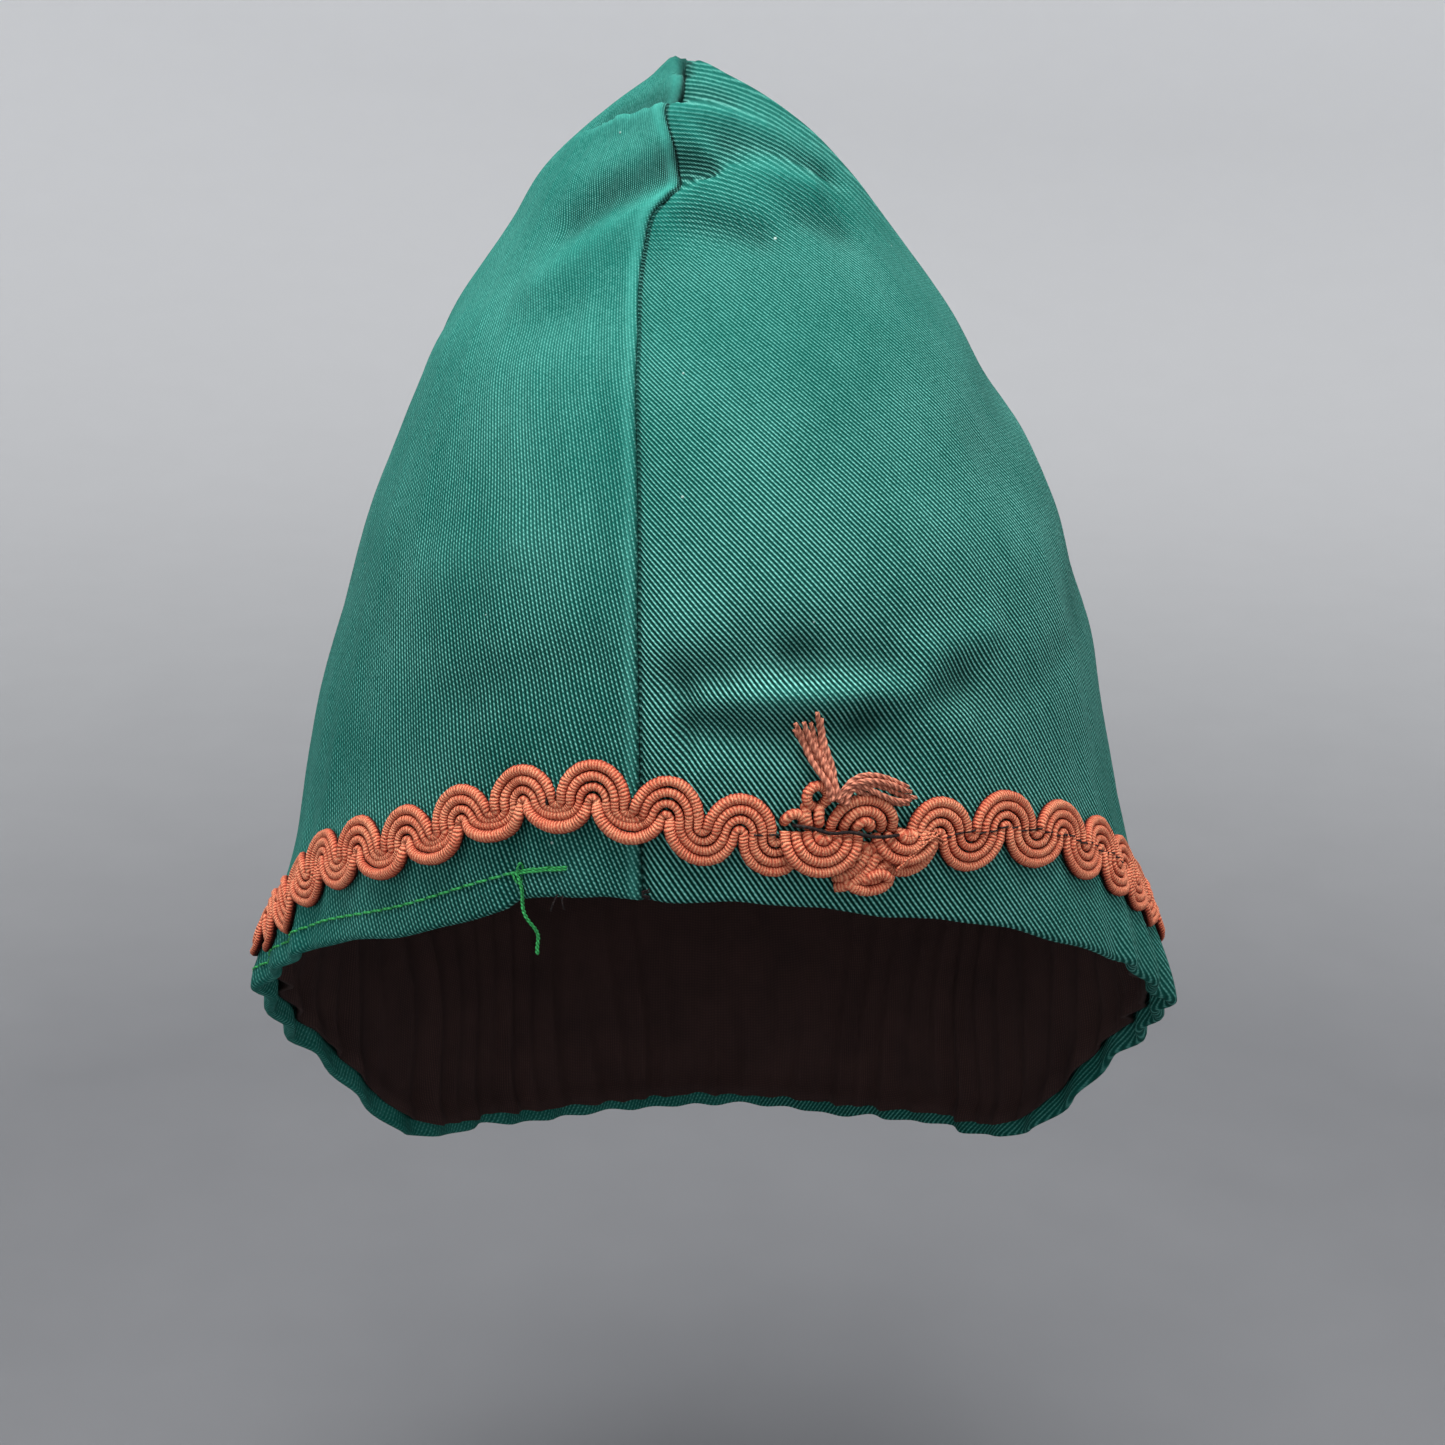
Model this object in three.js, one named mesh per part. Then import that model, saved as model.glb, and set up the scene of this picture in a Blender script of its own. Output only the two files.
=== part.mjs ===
// Pointed hood of cotton drill, as it is worn. Two panels meet in a seam down the front and the
// back, a dark lining shows inside the side flaps, and a scrolled gimp braid runs round the hood
// above the hem, its doubled ends and frayed tails at the front right.
// Millimetres, +Z up. The face looks along -Y, and the origin is on the head's axis at the
// height of the front hem. A turn is an angle round that axis in degrees, 0 at the face and
// growing to +X. A rise is a height above the hem, square to the hem's own line.
import * as THREE from 'three';
import { mergeVertices } from 'three/addons/utils/BufferGeometryUtils.js';

// The hood's size
const peakHeight = 156;
const napeDrop = 160;
const sideReach = 103;
const frontReach = 105;
const backReach = 107;
const hemFlare = 8;
const flareRise = 26;

// Cloth, lining and seams
const clothWall = 1.4;
const liningWall = 1.2;
const layerGap = 0.35;
const liningInset = 2;
const liningSlack = 3.5;
const liningFreeRise = 48;
const seamTurn = -8.5;
const seamGap = 0.3;
const seamLapHeight = 0.8;
const seamLapWidth = 7;

// Folds and gathers
const foldSize = 10;
const gatherPitch = 15;
const gatherDepth = 3.4;
const gatherRise = 20;
const gatherStart = 50;
const growingGathers = 2;

// Braid, its join and its tails
const braidWidth = 15;
const braidPitch = 15.2;
const braidThickness = 2.2;
const braidNotch = 4.2;
const braidCrown = 0.65;
const braidRise = 20;
const braidGap = 1;
const braidEndGap = 0.3;
const joinThickness = 3.6;
const joinStart = 9.5;
const joinEnd = 26.5;
const tailWidth = 5.5;
const tailThickness = 2.4;
const tailGap = 0.35;

// How finely each half of the hood and each lobe of the braid is faceted
const gatherColumns = 4;
const frontColumns = 10;
const crownColumns = 34;
const peakColumns = 22;
const liningColumns = 22;
const liningPeakColumns = 10;
const lobeSteps = 4;

// Sections of the head form. A level is a share of peakHeight above the front hem, or of
// napeDrop below it. The reach to each side is a share of sideReach, frontReach or backReach,
// and lean moves the section sideways by a share of sideReach.
const sections = [
  { level: -1.0, left: 0.92, right: 0.92, front: 0.9, back: 0.84, lean: 0 },
  { level: -0.7, left: 0.99, right: 0.99, front: 0.97, back: 0.94, lean: 0 },
  { level: -0.4, left: 1.03, right: 1.02, front: 1.0, back: 1.0, lean: 0 },
  { level: -0.2, left: 0.995, right: 0.98, front: 1.0, back: 1.01, lean: 0 },
  { level: 0.06, left: 0.925, right: 0.895, front: 0.99, back: 1.0, lean: 0 },
  { level: 0.22, left: 0.848, right: 0.845, front: 0.95, back: 0.95, lean: 0 },
  { level: 0.375, left: 0.762, right: 0.771, front: 0.86, back: 0.86, lean: -0.01 },
  { level: 0.48, left: 0.683, right: 0.703, front: 0.78, back: 0.78, lean: -0.02 },
  { level: 0.625, left: 0.572, right: 0.575, front: 0.64, back: 0.65, lean: -0.034 },
  { level: 0.775, left: 0.395, right: 0.418, front: 0.44, back: 0.46, lean: -0.048 },
  { level: 0.85, left: 0.31, right: 0.335, front: 0.34, back: 0.35, lean: -0.058 },
  { level: 0.91, left: 0.205, right: 0.245, front: 0.23, back: 0.25, lean: -0.063 },
  { level: 0.97, left: 0.078, right: 0.1, front: 0.1, back: 0.11, lean: -0.063 },
  { level: 1.0, left: 0, right: 0, front: 0, back: 0, lean: -0.063 },
];

// The hem's drop below the front, a share of napeDrop, and its flare, a share of hemFlare.
const hemRows = [
  { turn: -180, drop: 0.99, flare: 0.25 },
  { turn: -140, drop: 0.96, flare: 0.4 },
  { turn: -115, drop: 0.86, flare: 0.5 },
  { turn: -98, drop: 0.62, flare: 0.85 },
  { turn: -82, drop: 0.42, flare: 1.0 },
  { turn: -60, drop: 0.213, flare: 0.6 },
  { turn: -40, drop: 0.105, flare: 0.3 },
  { turn: -20, drop: 0.01, flare: 0.1 },
  { turn: 0, drop: 0, flare: 0 },
  { turn: 20, drop: 0.031, flare: 0.1 },
  { turn: 40, drop: 0.106, flare: 0.3 },
  { turn: 60, drop: 0.235, flare: 0.6 },
  { turn: 82, drop: 0.44, flare: 1.0 },
  { turn: 98, drop: 0.62, flare: 0.85 },
  { turn: 115, drop: 0.86, flare: 0.5 },
  { turn: 140, drop: 0.96, flare: 0.4 },
  { turn: 180, drop: 0.99, flare: 0.25 },
];

// The front seam's wander on its way up: degrees from its foot, at shares of its height.
const seamRows = [
  { height: 0, wander: 0 },
  { height: 0.25, wander: -1.5 },
  { height: 0.5, wander: -2.5 },
  { height: 0.66, wander: -4 },
  { height: 0.77, wander: -5 },
  { height: 0.805, wander: -3 },
  { height: 0.84, wander: 5 },
  { height: 0.89, wander: 4 },
  { height: 0.935, wander: -4 },
  { height: 0.965, wander: 6 },
  { height: 1, wander: 0 },
];

// Folds, ridges and dents, each along a line from one turn and level to another. Width and
// height are shares of foldSize, and a dent's height is below 0.
const foldRows = [
  // ledge under the peak
  { turn: -14, level: 0.948, toTurn: -66, toLevel: 0.915, width: 0.35, height: -0.17 },
  // lip of that ledge
  { turn: -14, level: 0.925, toTurn: -66, toLevel: 0.885, width: 0.4, height: 0.1 },
  // fold from the jog, left
  { turn: -7, level: 0.826, toTurn: -42, toLevel: 0.714, width: 0.6, height: 0.17 },
  // end of that fold
  { turn: -42, level: 0.714, toTurn: -74, toLevel: 0.615, width: 0.8, height: 0.08 },
  // valley above that fold
  { turn: -9, level: 0.85, toTurn: -40, toLevel: 0.8, width: 0.6, height: -0.2 },
  // pocket right of the seam
  { turn: 3, level: 0.88, toTurn: 14, toLevel: 0.875, width: 0.6, height: -0.3 },
  // upper edge of the pocket
  { turn: -2, level: 0.932, toTurn: 39, toLevel: 0.91, width: 0.32, height: 0.09 },
  // valley beside the peak
  { turn: 14, level: 0.912, toTurn: 65, toLevel: 0.844, width: 0.35, height: -0.11 },
  // ridge under that valley
  { turn: 16, level: 0.862, toTurn: 45, toLevel: 0.833, width: 0.4, height: 0.12 },
  // soft valley
  { turn: 37, level: 0.819, toTurn: 47, toLevel: 0.781, width: 0.6, height: -0.08 },
  // dent in the left side
  { turn: -100, level: 0.54, toTurn: -37, toLevel: 0.7, width: 0.9, height: -0.16 },
  // dent in the right side
  { turn: 100, level: 0.56, toTurn: 60, toLevel: 0.5, width: 1.1, height: -0.15 },
  // lower dent on the right
  { turn: 105, level: 0.3, toTurn: 72, toLevel: 0.24, width: 1.1, height: -0.14 },
  // wrinkle over the braid
  { turn: 8, level: 0.265, toTurn: 26, toLevel: 0.25, width: 0.8, height: 0.26 },
  // hollow under that wrinkle
  { turn: 3, level: 0.2, toTurn: 24, toLevel: 0.185, width: 0.7, height: -0.16 },
  // hollow above that wrinkle
  { turn: 6, level: 0.33, toTurn: 40, toLevel: 0.26, width: 0.8, height: -0.16 },
  // tuck at the front left
  { turn: -26, level: 0.13, toTurn: -24.5, toLevel: -0.02, width: 0.28, height: -0.12 },
  // drape at the back left
  { turn: -150, level: 0.35, toTurn: -128, toLevel: -0.5, width: 1.3, height: 0.25 },
  // drape at the back right
  { turn: 146, level: 0.3, toTurn: 126, toLevel: -0.5, width: 1.3, height: 0.25 },
  // hollow of the nape
  { turn: 172, level: -0.35, toTurn: 165, toLevel: -0.8, width: 1.6, height: -0.3 },
];

// Sizes of the gathers one after another, as shares of gatherDepth.
const gatherShares = [0.8, 0.95, 0.65, 1.15, 0.75, 1.05, 0.6];

// Rows of facets: in the gathers by rise, as shares of gatherRise, and above them as shares of
// what is left up to the peak.
const gatherRows = [0, 0.35, 0.85, 1.3, 1.85];
const liningGatherRows = [0, 0.35, 0.95, 1.85];
const crownRows = [0.14, 0.28, 0.42, 0.55];
const peakRows = [0.65, 0.73, 0.8, 0.86, 0.905, 0.94, 0.97, 0.988];
const liningCrownRows = [0.2, 0.4, 0.6];
const liningPeakRows = [0.76, 0.88, 0.96];

// The braid's line: its rise at each turn, as a share of braidRise.
const braidRows = [
  { turn: -180, rise: 1.0 },
  { turn: -95, rise: 0.95 },
  { turn: -68, rise: 0.62 },
  { turn: -58, rise: 0.85 },
  { turn: -36, rise: 0.92 },
  { turn: -24, rise: 1.0 },
  { turn: -15, rise: 1.0 },
  { turn: -5, rise: 0.85 },
  { turn: 4, rise: 0.75 },
  { turn: 18, rise: 0.77 },
  { turn: 29, rise: 0.9 },
  { turn: 41, rise: 1.08 },
  { turn: 52, rise: 1.12 },
  { turn: 66, rise: 1.08 },
  { turn: 80, rise: 1.0 },
  { turn: 180, rise: 1.0 },
];

// Outline of the doubled ends: how far the piece reaches above and below the braid's line, as
// shares of braidWidth, from its left end to its right.
const joinRows = [
  { along: 0, up: 0.2, down: 0.28 },
  { along: 0.09, up: 0.5, down: 0.44 },
  { along: 0.2, up: 0.68, down: 0.54 },
  { along: 0.32, up: 0.52, down: 0.58 },
  { along: 0.42, up: 0.57, down: 0.66 },
  { along: 0.55, up: 0.66, down: 0.72 },
  { along: 0.68, up: 0.6, down: 0.69 },
  { along: 0.8, up: 0.46, down: 0.54 },
  { along: 0.9, up: 0.26, down: 0.42 },
  { along: 1, up: 0.22, down: 0.26 },
];

// The frayed tails stand a little off the cloth: rise as a share of braidRise, width as a share
// of tailWidth, lift off the cloth as a share of tailThickness.
const upperTailRows = [
  { turn: 15.3, rise: 1.36, width: 0.6, lift: 0.05 },
  { turn: 15.5, rise: 1.5, width: 0.8, lift: 0.3 },
  { turn: 14.9, rise: 1.66, width: 0.95, lift: 0.45 },
  { turn: 13.8, rise: 1.82, width: 1.15, lift: 0.6 },
  { turn: 12.4, rise: 1.98, width: 1.4, lift: 0.7 },
];
const rightTailRows = [
  { turn: 18.4, rise: 1.42, width: 0.6, lift: 0.3 },
  { turn: 20.2, rise: 1.48, width: 0.75, lift: 0.22 },
  { turn: 22.4, rise: 1.46, width: 0.8, lift: 0.15 },
  { turn: 24.6, rise: 1.4, width: 0.75, lift: 0 },
  { turn: 26.8, rise: 1.34, width: 0.55, lift: -0.1 },
];

const drill = { roughness: 0.92, metalness: 0 };
const materials = {
  left: new THREE.MeshStandardMaterial({ color: 0x3d857a, ...drill }),
  right: new THREE.MeshStandardMaterial({ color: 0x468c82, ...drill }),
  lining: new THREE.MeshStandardMaterial({ color: 0x1c1312, roughness: 0.95, metalness: 0 }),
  braid: new THREE.MeshStandardMaterial({ color: 0xb0604f, roughness: 0.8, metalness: 0 }),
};

// A smooth curve through one column of a table: a cubic between rows, whose slope at each row
// comes from its neighbours. With flat ends the curve joins itself round the hood.
function through(rows, at, column, flatEnds = false) {
  const last = rows.length - 1;
  const step = (i) => rows[i + 1][at] - rows[i][at];
  const rise = (i) => (rows[i + 1][column] - rows[i][column]) / step(i);
  const slopes = rows.map((row, i) => {
    if (i === 0) return flatEnds ? 0 : rise(0);
    if (i === last) return flatEnds ? 0 : rise(last - 1);
    return (rise(i - 1) * step(i) + rise(i) * step(i - 1)) / (step(i - 1) + step(i));
  });
  return (x) => {
    let i = 0;
    while (i < last - 1 && x > rows[i + 1][at]) i += 1;
    const t = THREE.MathUtils.clamp((x - rows[i][at]) / step(i), 0, 1);
    const start = (1 + 2 * t) * (1 - t) ** 2 * rows[i][column] + t * (1 - t) ** 2 * step(i) * slopes[i];
    const end = t * t * (3 - 2 * t) * rows[i + 1][column] - t * t * (1 - t) * step(i) * slopes[i + 1];
    return start + end;
  };
}

const section = {
  left: through(sections, 'level', 'left'),
  right: through(sections, 'level', 'right'),
  front: through(sections, 'level', 'front'),
  back: through(sections, 'level', 'back'),
  lean: through(sections, 'level', 'lean'),
};
const hemDrop = through(hemRows, 'turn', 'drop', true);
const hemStand = through(hemRows, 'turn', 'flare', true);
const seamWander = through(seamRows, 'height', 'wander');
const braidLine = through(braidRows, 'turn', 'rise', true);

// The same turn between -180 and 180.
const wrapped = (turn) => THREE.MathUtils.euclideanModulo(turn + 180, 360) - 180;

const hemHeight = (turn) => -napeDrop * hemDrop(wrapped(turn));

// A point of the head form at one height.
function headForm(turn, height) {
  const level = height / (height < 0 ? napeDrop : peakHeight);
  const sine = Math.sin(THREE.MathUtils.degToRad(turn));
  const cosine = Math.cos(THREE.MathUtils.degToRad(turn));
  const across = sideReach * (sine < 0 ? section.left(level) : section.right(level));
  const along = cosine > 0 ? frontReach * section.front(level) : backReach * section.back(level);
  return new THREE.Vector3(sideReach * section.lean(level) + across * sine, -along * cosine, height);
}

// The smooth form of the hood, v from 0 at the hem to 1 at the peak, with its flared hem.
function hoodForm(turn, v) {
  const hem = hemHeight(turn);
  const above = (peakHeight - hem) * v;
  const stand = hemFlare * hemStand(wrapped(turn)) * Math.exp(-((above / flareRise) ** 2));
  const angle = THREE.MathUtils.degToRad(turn);
  const flare = new THREE.Vector3(Math.sin(angle) * stand, -Math.cos(angle) * stand, 0);
  return headForm(turn, hem + above).add(flare);
}

// The form's two directions at a point, per degree of turn and per unit of v, and its normal.
function directions(turn, v) {
  const turnStep = 0.5;
  const vStep = 0.002;
  const low = Math.min(v, 1 - 2 * vStep);
  const round = hoodForm(turn + turnStep, low).sub(hoodForm(turn - turnStep, low));
  const up = hoodForm(turn, low + vStep).sub(hoodForm(turn, low - vStep));
  round.divideScalar(2 * turnStep);
  up.divideScalar(2 * vStep);
  const normal = v === 1 ? new THREE.Vector3(0, 0, 1) : round.clone().cross(up).normalize();
  return { round, up, normal };
}

// How upright a height stands to the hem's line: the cosine of the hem's slope.
function hemCosine(turn) {
  const { round } = directions(turn, 0);
  return Math.hypot(round.x, round.y) / round.length();
}

const vAtRise = (turn, rise) => rise / hemCosine(turn) / (peakHeight - hemHeight(turn));

function riseAt(turn, v) {
  return v * (peakHeight - hemHeight(turn)) * hemCosine(turn);
}

const folds = foldRows.map((row) => ({
  line: new THREE.Line3(
    headForm(row.turn, row.level * (row.level < 0 ? napeDrop : peakHeight)),
    headForm(row.toTurn, row.toLevel * (row.toLevel < 0 ? napeDrop : peakHeight)),
  ),
  width: row.width * foldSize,
  height: row.height * foldSize,
}));

function foldRelief(point) {
  const nearest = new THREE.Vector3();
  return folds.reduce((sum, fold) => {
    fold.line.closestPointToPoint(point, true, nearest);
    return sum + fold.height * Math.exp(-((nearest.distanceTo(point) / fold.width) ** 2));
  }, 0);
}

// Where a turn lies in its panel: the side of the seam and the degrees away from it.
function panelPlace(turn) {
  const right = THREE.MathUtils.euclideanModulo(turn - seamTurn, 360);
  return right <= 180 ? { side: 1, away: right } : { side: -1, away: 360 - right };
}

// The gathers of one panel: where they start behind the temple and how many reach the back seam.
function gathersOf(side) {
  const start = gatherStart - side * seamTurn;
  const span = 180 - start;
  const length = THREE.MathUtils.degToRad(span) * (sideReach + backReach) / 2;
  return { start, span, count: Math.round(length / gatherPitch) };
}

// Each gather swells out and falls back, most at the hem. The first few grow in.
function gatherRelief(turn, v) {
  const { side, away } = panelPlace(turn);
  const { start, span, count } = gathersOf(side);
  const phase = (away - start) / span * count;
  if (phase <= 0) return 0;
  const share = gatherShares[Math.floor(phase) % gatherShares.length];
  const swell = share * (1 - Math.cos(2 * Math.PI * phase)) / 2;
  const growth = THREE.MathUtils.smoothstep(phase, 0, growingGathers);
  return gatherDepth * (swell - 0.5) * growth * Math.exp(-riseAt(turn, v) / gatherRise);
}

// The seam allowance is pressed to the left, so the left panel stands proud beside the seam.
function seamRelief(turn, v) {
  const { side, away } = panelPlace(turn - seamWanderAt(turn, v));
  if (side > 0) return 0;
  const across = away * directions(turn, v).round.length();
  return seamLapHeight * Math.exp(-((across / seamLapWidth) ** 4));
}

// The wander dies away a quarter turn from the seam.
function seamWanderAt(turn, v) {
  const { away } = panelPlace(turn);
  const quarter = 90;
  return seamWander(v) * Math.max(0, 1 - away / quarter);
}

// A point of the hood at a depth below the face of its cloth.
function clothPoint(turn, v, depth) {
  const form = hoodForm(turn, v);
  const relief = foldRelief(form) + seamRelief(turn, v) + gatherRelief(turn, v);
  return form.addScaledVector(directions(turn, v).normal, relief - depth);
}

// The lining gives way to the dents but doesn't fill the ridges, and it hangs more and more free
// of the cloth above the hem.
function liningPoint(turn, v, depth) {
  const form = hoodForm(turn, v);
  const free = THREE.MathUtils.smoothstep(riseAt(turn, v), 0, liningFreeRise);
  const relief = Math.min(0, foldRelief(form)) + gatherRelief(turn, v) - liningSlack * free;
  return form.addScaledVector(directions(turn, v).normal, relief - clothWall - layerGap - depth);
}

// Solids

// Triangles between two rows of points, each point carrying its place along the row.
function strip(lower, upper, faces) {
  let i = 0;
  let j = 0;
  while (i < lower.length - 1 || j < upper.length - 1) {
    const lowerNext = i < lower.length - 1 ? lower[i + 1].place : Infinity;
    const upperNext = j < upper.length - 1 ? upper[j + 1].place : Infinity;
    if (lowerNext <= upperNext) {
      faces.push([lower[i].index, lower[i + 1].index, upper[j].index]);
      i += 1;
    } else {
      faces.push([lower[i].index, upper[j + 1].index, upper[j].index]);
      j += 1;
    }
  }
}

// A closed wall between an outer and an inner layer of the same rows of points. The rows end in
// one point at the peak. A ring's first and last columns coincide and need no end walls.
function wall(rows, outer, inner, ring) {
  const points = rows.flat();
  points.forEach((point, index) => { point.index = index; });
  const faces = [];
  rows.slice(1).forEach((row, i) => strip(rows[i], row, faces));
  const inside = faces.map(([a, b, c]) => [c + points.length, b + points.length, a + points.length]);
  const hem = rows[0].map((point) => point.index);
  const leftEdge = rows.map((row) => row[0].index);
  const rightEdge = rows.map((row) => row[row.length - 1].index);
  const edges = ring ? [hem] : [hem, rightEdge, leftEdge.reverse()];
  edges.forEach((edge) => edge.slice(1).forEach((to, i) => {
    const from = edge[i];
    inside.push([to, from, from + points.length], [to, from + points.length, to + points.length]);
  }));
  return solid([...points.map(outer), ...points.map(inner)], [...faces, ...inside]);
}

function solid(points, faces) {
  const geometry = new THREE.BufferGeometry();
  const positions = points.flatMap((point) => point.toArray());
  geometry.setAttribute('position', new THREE.Float32BufferAttribute(positions, 3));
  geometry.setIndex(faces.flat());
  const welded = mergeVertices(geometry, 1e-4);
  welded.computeVertexNormals();
  return welded;
}

// Turns away from the seam where half the hood has its columns: beside the seam, over the
// front, and gatherColumns to each gather.
function gatheredColumns(side) {
  const { start, span, count } = gathersOf(side);
  const lap = THREE.MathUtils.radToDeg(seamLapWidth / frontReach);
  const front = Array.from({ length: frontColumns }, (_, i) => lap + (start - lap) * i / frontColumns);
  const steps = count * gatherColumns;
  const gathers = Array.from({ length: steps + 1 }, (_, i) => start + span * i / steps);
  return [0, lap / 2, ...front, ...gathers];
}

function evenColumns(count) {
  const lap = THREE.MathUtils.radToDeg(seamLapWidth / frontReach);
  const even = Array.from({ length: count + 1 }, (_, i) => lap + (180 - lap) * i / count);
  return [0, lap / 2, ...even];
}

// A row's points, in the order of growing turn. The wander of the seam turns the columns near it.
function rowPoints(aways, side, vAt) {
  const ordered = side > 0 ? aways : aways.slice().reverse();
  return ordered.map((away) => {
    const straight = seamTurn + side * away;
    const v = vAt(straight);
    return { turn: straight + seamWanderAt(straight, v), v, place: side * away };
  });
}

const peakRow = (side) => [{ turn: seamTurn + side * 90, v: 1, place: side * 90 }];

// Rows up half the hood: gathered ones from the hem, then coarser ones up to the peak.
function halfRows(side, start, lower, crown, crownShares, peak, peakShares) {
  const top = lower[lower.length - 1] * gatherRise;
  const gathered = lower.map((share) => rowPoints(gatheredColumns(side), side, (turn) => (
    vAtRise(turn, start + (top - start) * share * gatherRise / top)
  )));
  const above = (columns, shares) => shares.map((share) => rowPoints(evenColumns(columns), side, (turn) => (
    THREE.MathUtils.lerp(vAtRise(turn, top), 1, share)
  )));
  return [...gathered, ...above(crown, crownShares), ...above(peak, peakShares), peakRow(side)];
}

function panel(side) {
  const rows = halfRows(side, 0, gatherRows, crownColumns, crownRows, peakColumns, peakRows);
  const seam = THREE.MathUtils.degToRad(seamTurn);
  const aside = new THREE.Vector3(Math.cos(seam), Math.sin(seam), 0).multiplyScalar(side * seamGap / 2);
  const layer = (depth) => (point) => clothPoint(point.turn, point.v, depth).add(aside);
  return wall(rows, layer(0), layer(clothWall), false);
}

// The lining is a bag of its own.
function lining() {
  const sides = [-1, 1].map((side) => (
    halfRows(
      side, liningInset, liningGatherRows, liningColumns, liningCrownRows, liningPeakColumns, liningPeakRows,
    )
  ));
  const rows = sides[0].map((row, i) => (
    row[0].v === 1 ? row : [...row, ...sides[1][i].slice(1)]
  ));
  const layer = (depth) => (point) => liningPoint(point.turn, point.v, depth);
  return wall(rows, layer(0), layer(liningWall), true);
}

// The braid lies on the cloth's face. A point is given by the turn and rise of its foot on the
// braid's line, a distance across that line and a height above the cloth.
function onCloth(turn, rise, across, height) {
  const v = vAtRise(turn, rise);
  const next = hoodForm(turn + 1, vAtRise(turn + 1, braidRise * braidLine(wrapped(turn + 1))));
  const before = hoodForm(turn - 1, vAtRise(turn - 1, braidRise * braidLine(wrapped(turn - 1))));
  const { round, up, normal } = directions(turn, v);
  const square = normal.clone().cross(next.sub(before)).normalize().multiplyScalar(across);
  const [turns, rises] = resolve(square, round, up);
  return clothPoint(turn + turns, v + rises, -height);
}

// The shares of two slanting directions that add up to a vector in their plane.
function resolve(vector, first, second) {
  const a = first.dot(first);
  const b = first.dot(second);
  const c = second.dot(second);
  const p = vector.dot(first);
  const q = vector.dot(second);
  const size = a * c - b * b;
  return [(p * c - q * b) / size, (q * a - p * b) / size];
}

// A closed bar through rings of points, each ring counted anticlockwise seen against its path.
function bar(rings) {
  const sides = rings[0].length;
  const faces = [];
  rings.slice(1).forEach((_, i) => rings[0].forEach((__, k) => {
    const [a, b] = [i * sides + k, i * sides + (k + 1) % sides];
    faces.push([a, b, b + sides], [a, b + sides, a + sides]);
  }));
  const end = (rings.length - 1) * sides;
  for (let k = 1; k < sides - 1; k += 1) {
    faces.push([0, k + 1, k], [end, end + k, end + k + 1]);
  }
  return solid(rings.flat(), faces);
}

// One ring of the braid: flat against the cloth and a little crowned on its face.
function braidRing(turn, up, down, thickness) {
  const rise = braidRise * braidLine(wrapped(turn));
  const crown = braidGap + thickness;
  const edge = crown - braidCrown;
  return [
    onCloth(turn, rise, up, braidGap),
    onCloth(turn, rise, up, edge),
    onCloth(turn, rise, 0, crown),
    onCloth(turn, rise, -down, edge),
    onCloth(turn, rise, -down, braidGap),
    onCloth(turn, rise, 0, braidGap),
  ];
}

// Turns at even distances along the braid's line.
function evenTurns(from, to, pitch, stepsPerPitch) {
  const count = 720;
  const samples = Array.from({ length: count + 1 }, (_, i) => from + (to - from) * i / count);
  const points = samples.map((turn) => hoodForm(turn, vAtRise(turn, braidRise * braidLine(wrapped(turn)))));
  const lengths = [0];
  points.slice(1).forEach((point, i) => lengths.push(lengths[i] + point.distanceTo(points[i])));
  const length = lengths[lengths.length - 1];
  const steps = Math.round(length / pitch) * stepsPerPitch;
  return Array.from({ length: steps + 1 }, (_, i) => {
    const target = length * i / steps;
    const k = Math.min(lengths.findLastIndex((value) => value <= target), count - 1);
    const share = (target - lengths[k]) / (lengths[k + 1] - lengths[k]);
    return THREE.MathUtils.lerp(samples[k], samples[k + 1], share);
  });
}

// A round lobe every pitch along one edge, half a pitch on along the other.
function lobe(step) {
  const share = THREE.MathUtils.euclideanModulo(step / lobeSteps, 1);
  const round = Math.sqrt(1 - (2 * share - 1) ** 2);
  return THREE.MathUtils.lerp(braidNotch, braidWidth / 2, round);
}

function braid() {
  const gap = THREE.MathUtils.radToDeg(braidEndGap / frontReach);
  const turns = evenTurns(joinEnd + gap, joinStart - gap + 360, braidPitch, lobeSteps);
  return bar(turns.map((turn, i) => braidRing(turn, lobe(i), lobe(i + lobeSteps / 2), braidThickness)));
}

function join() {
  return bar(joinRows.map(({ along, up, down }) => {
    const turn = THREE.MathUtils.lerp(joinStart, joinEnd, along);
    return braidRing(turn, up * braidWidth, down * braidWidth, joinThickness);
  }));
}

// A frayed end lies on the cloth as a flat bundle: an oval section along its rows.
function tail(rows) {
  const sides = 8;
  const stations = rows.map(({ turn, rise, lift }) => {
    const v = vAtRise(turn, rise * braidRise);
    const height = tailGap + (0.5 + lift) * tailThickness;
    return { centre: clothPoint(turn, v, -height), normal: directions(turn, v).normal };
  });
  return bar(stations.map(({ centre, normal }, i) => {
    const next = stations[Math.min(i + 1, stations.length - 1)].centre;
    const before = stations[Math.max(i - 1, 0)].centre;
    const square = normal.clone().cross(next.clone().sub(before)).normalize();
    return Array.from({ length: sides }, (_, k) => {
      const angle = 2 * Math.PI * k / sides;
      const point = centre.clone().addScaledVector(square, Math.cos(angle) * rows[i].width * tailWidth / 2);
      return point.addScaledVector(normal, Math.sin(angle) * tailThickness / 2);
    });
  }));
}

function piece(name, geometry, material) {
  const mesh = new THREE.Mesh(geometry, material);
  mesh.name = name;
  return mesh;
}

const hood = new THREE.Group();
hood.name = 'pointed_hood';
hood.add(
  piece('panel_left', panel(-1), materials.left),
  piece('panel_right', panel(1), materials.right),
  piece('lining', lining(), materials.lining),
  piece('braid', braid(), materials.braid),
  piece('braid_join', join(), materials.braid),
  piece('braid_tail_upper', tail(upperTailRows), materials.braid),
  piece('braid_tail_right', tail(rightTailRows), materials.braid),
);

export default hood;
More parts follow.
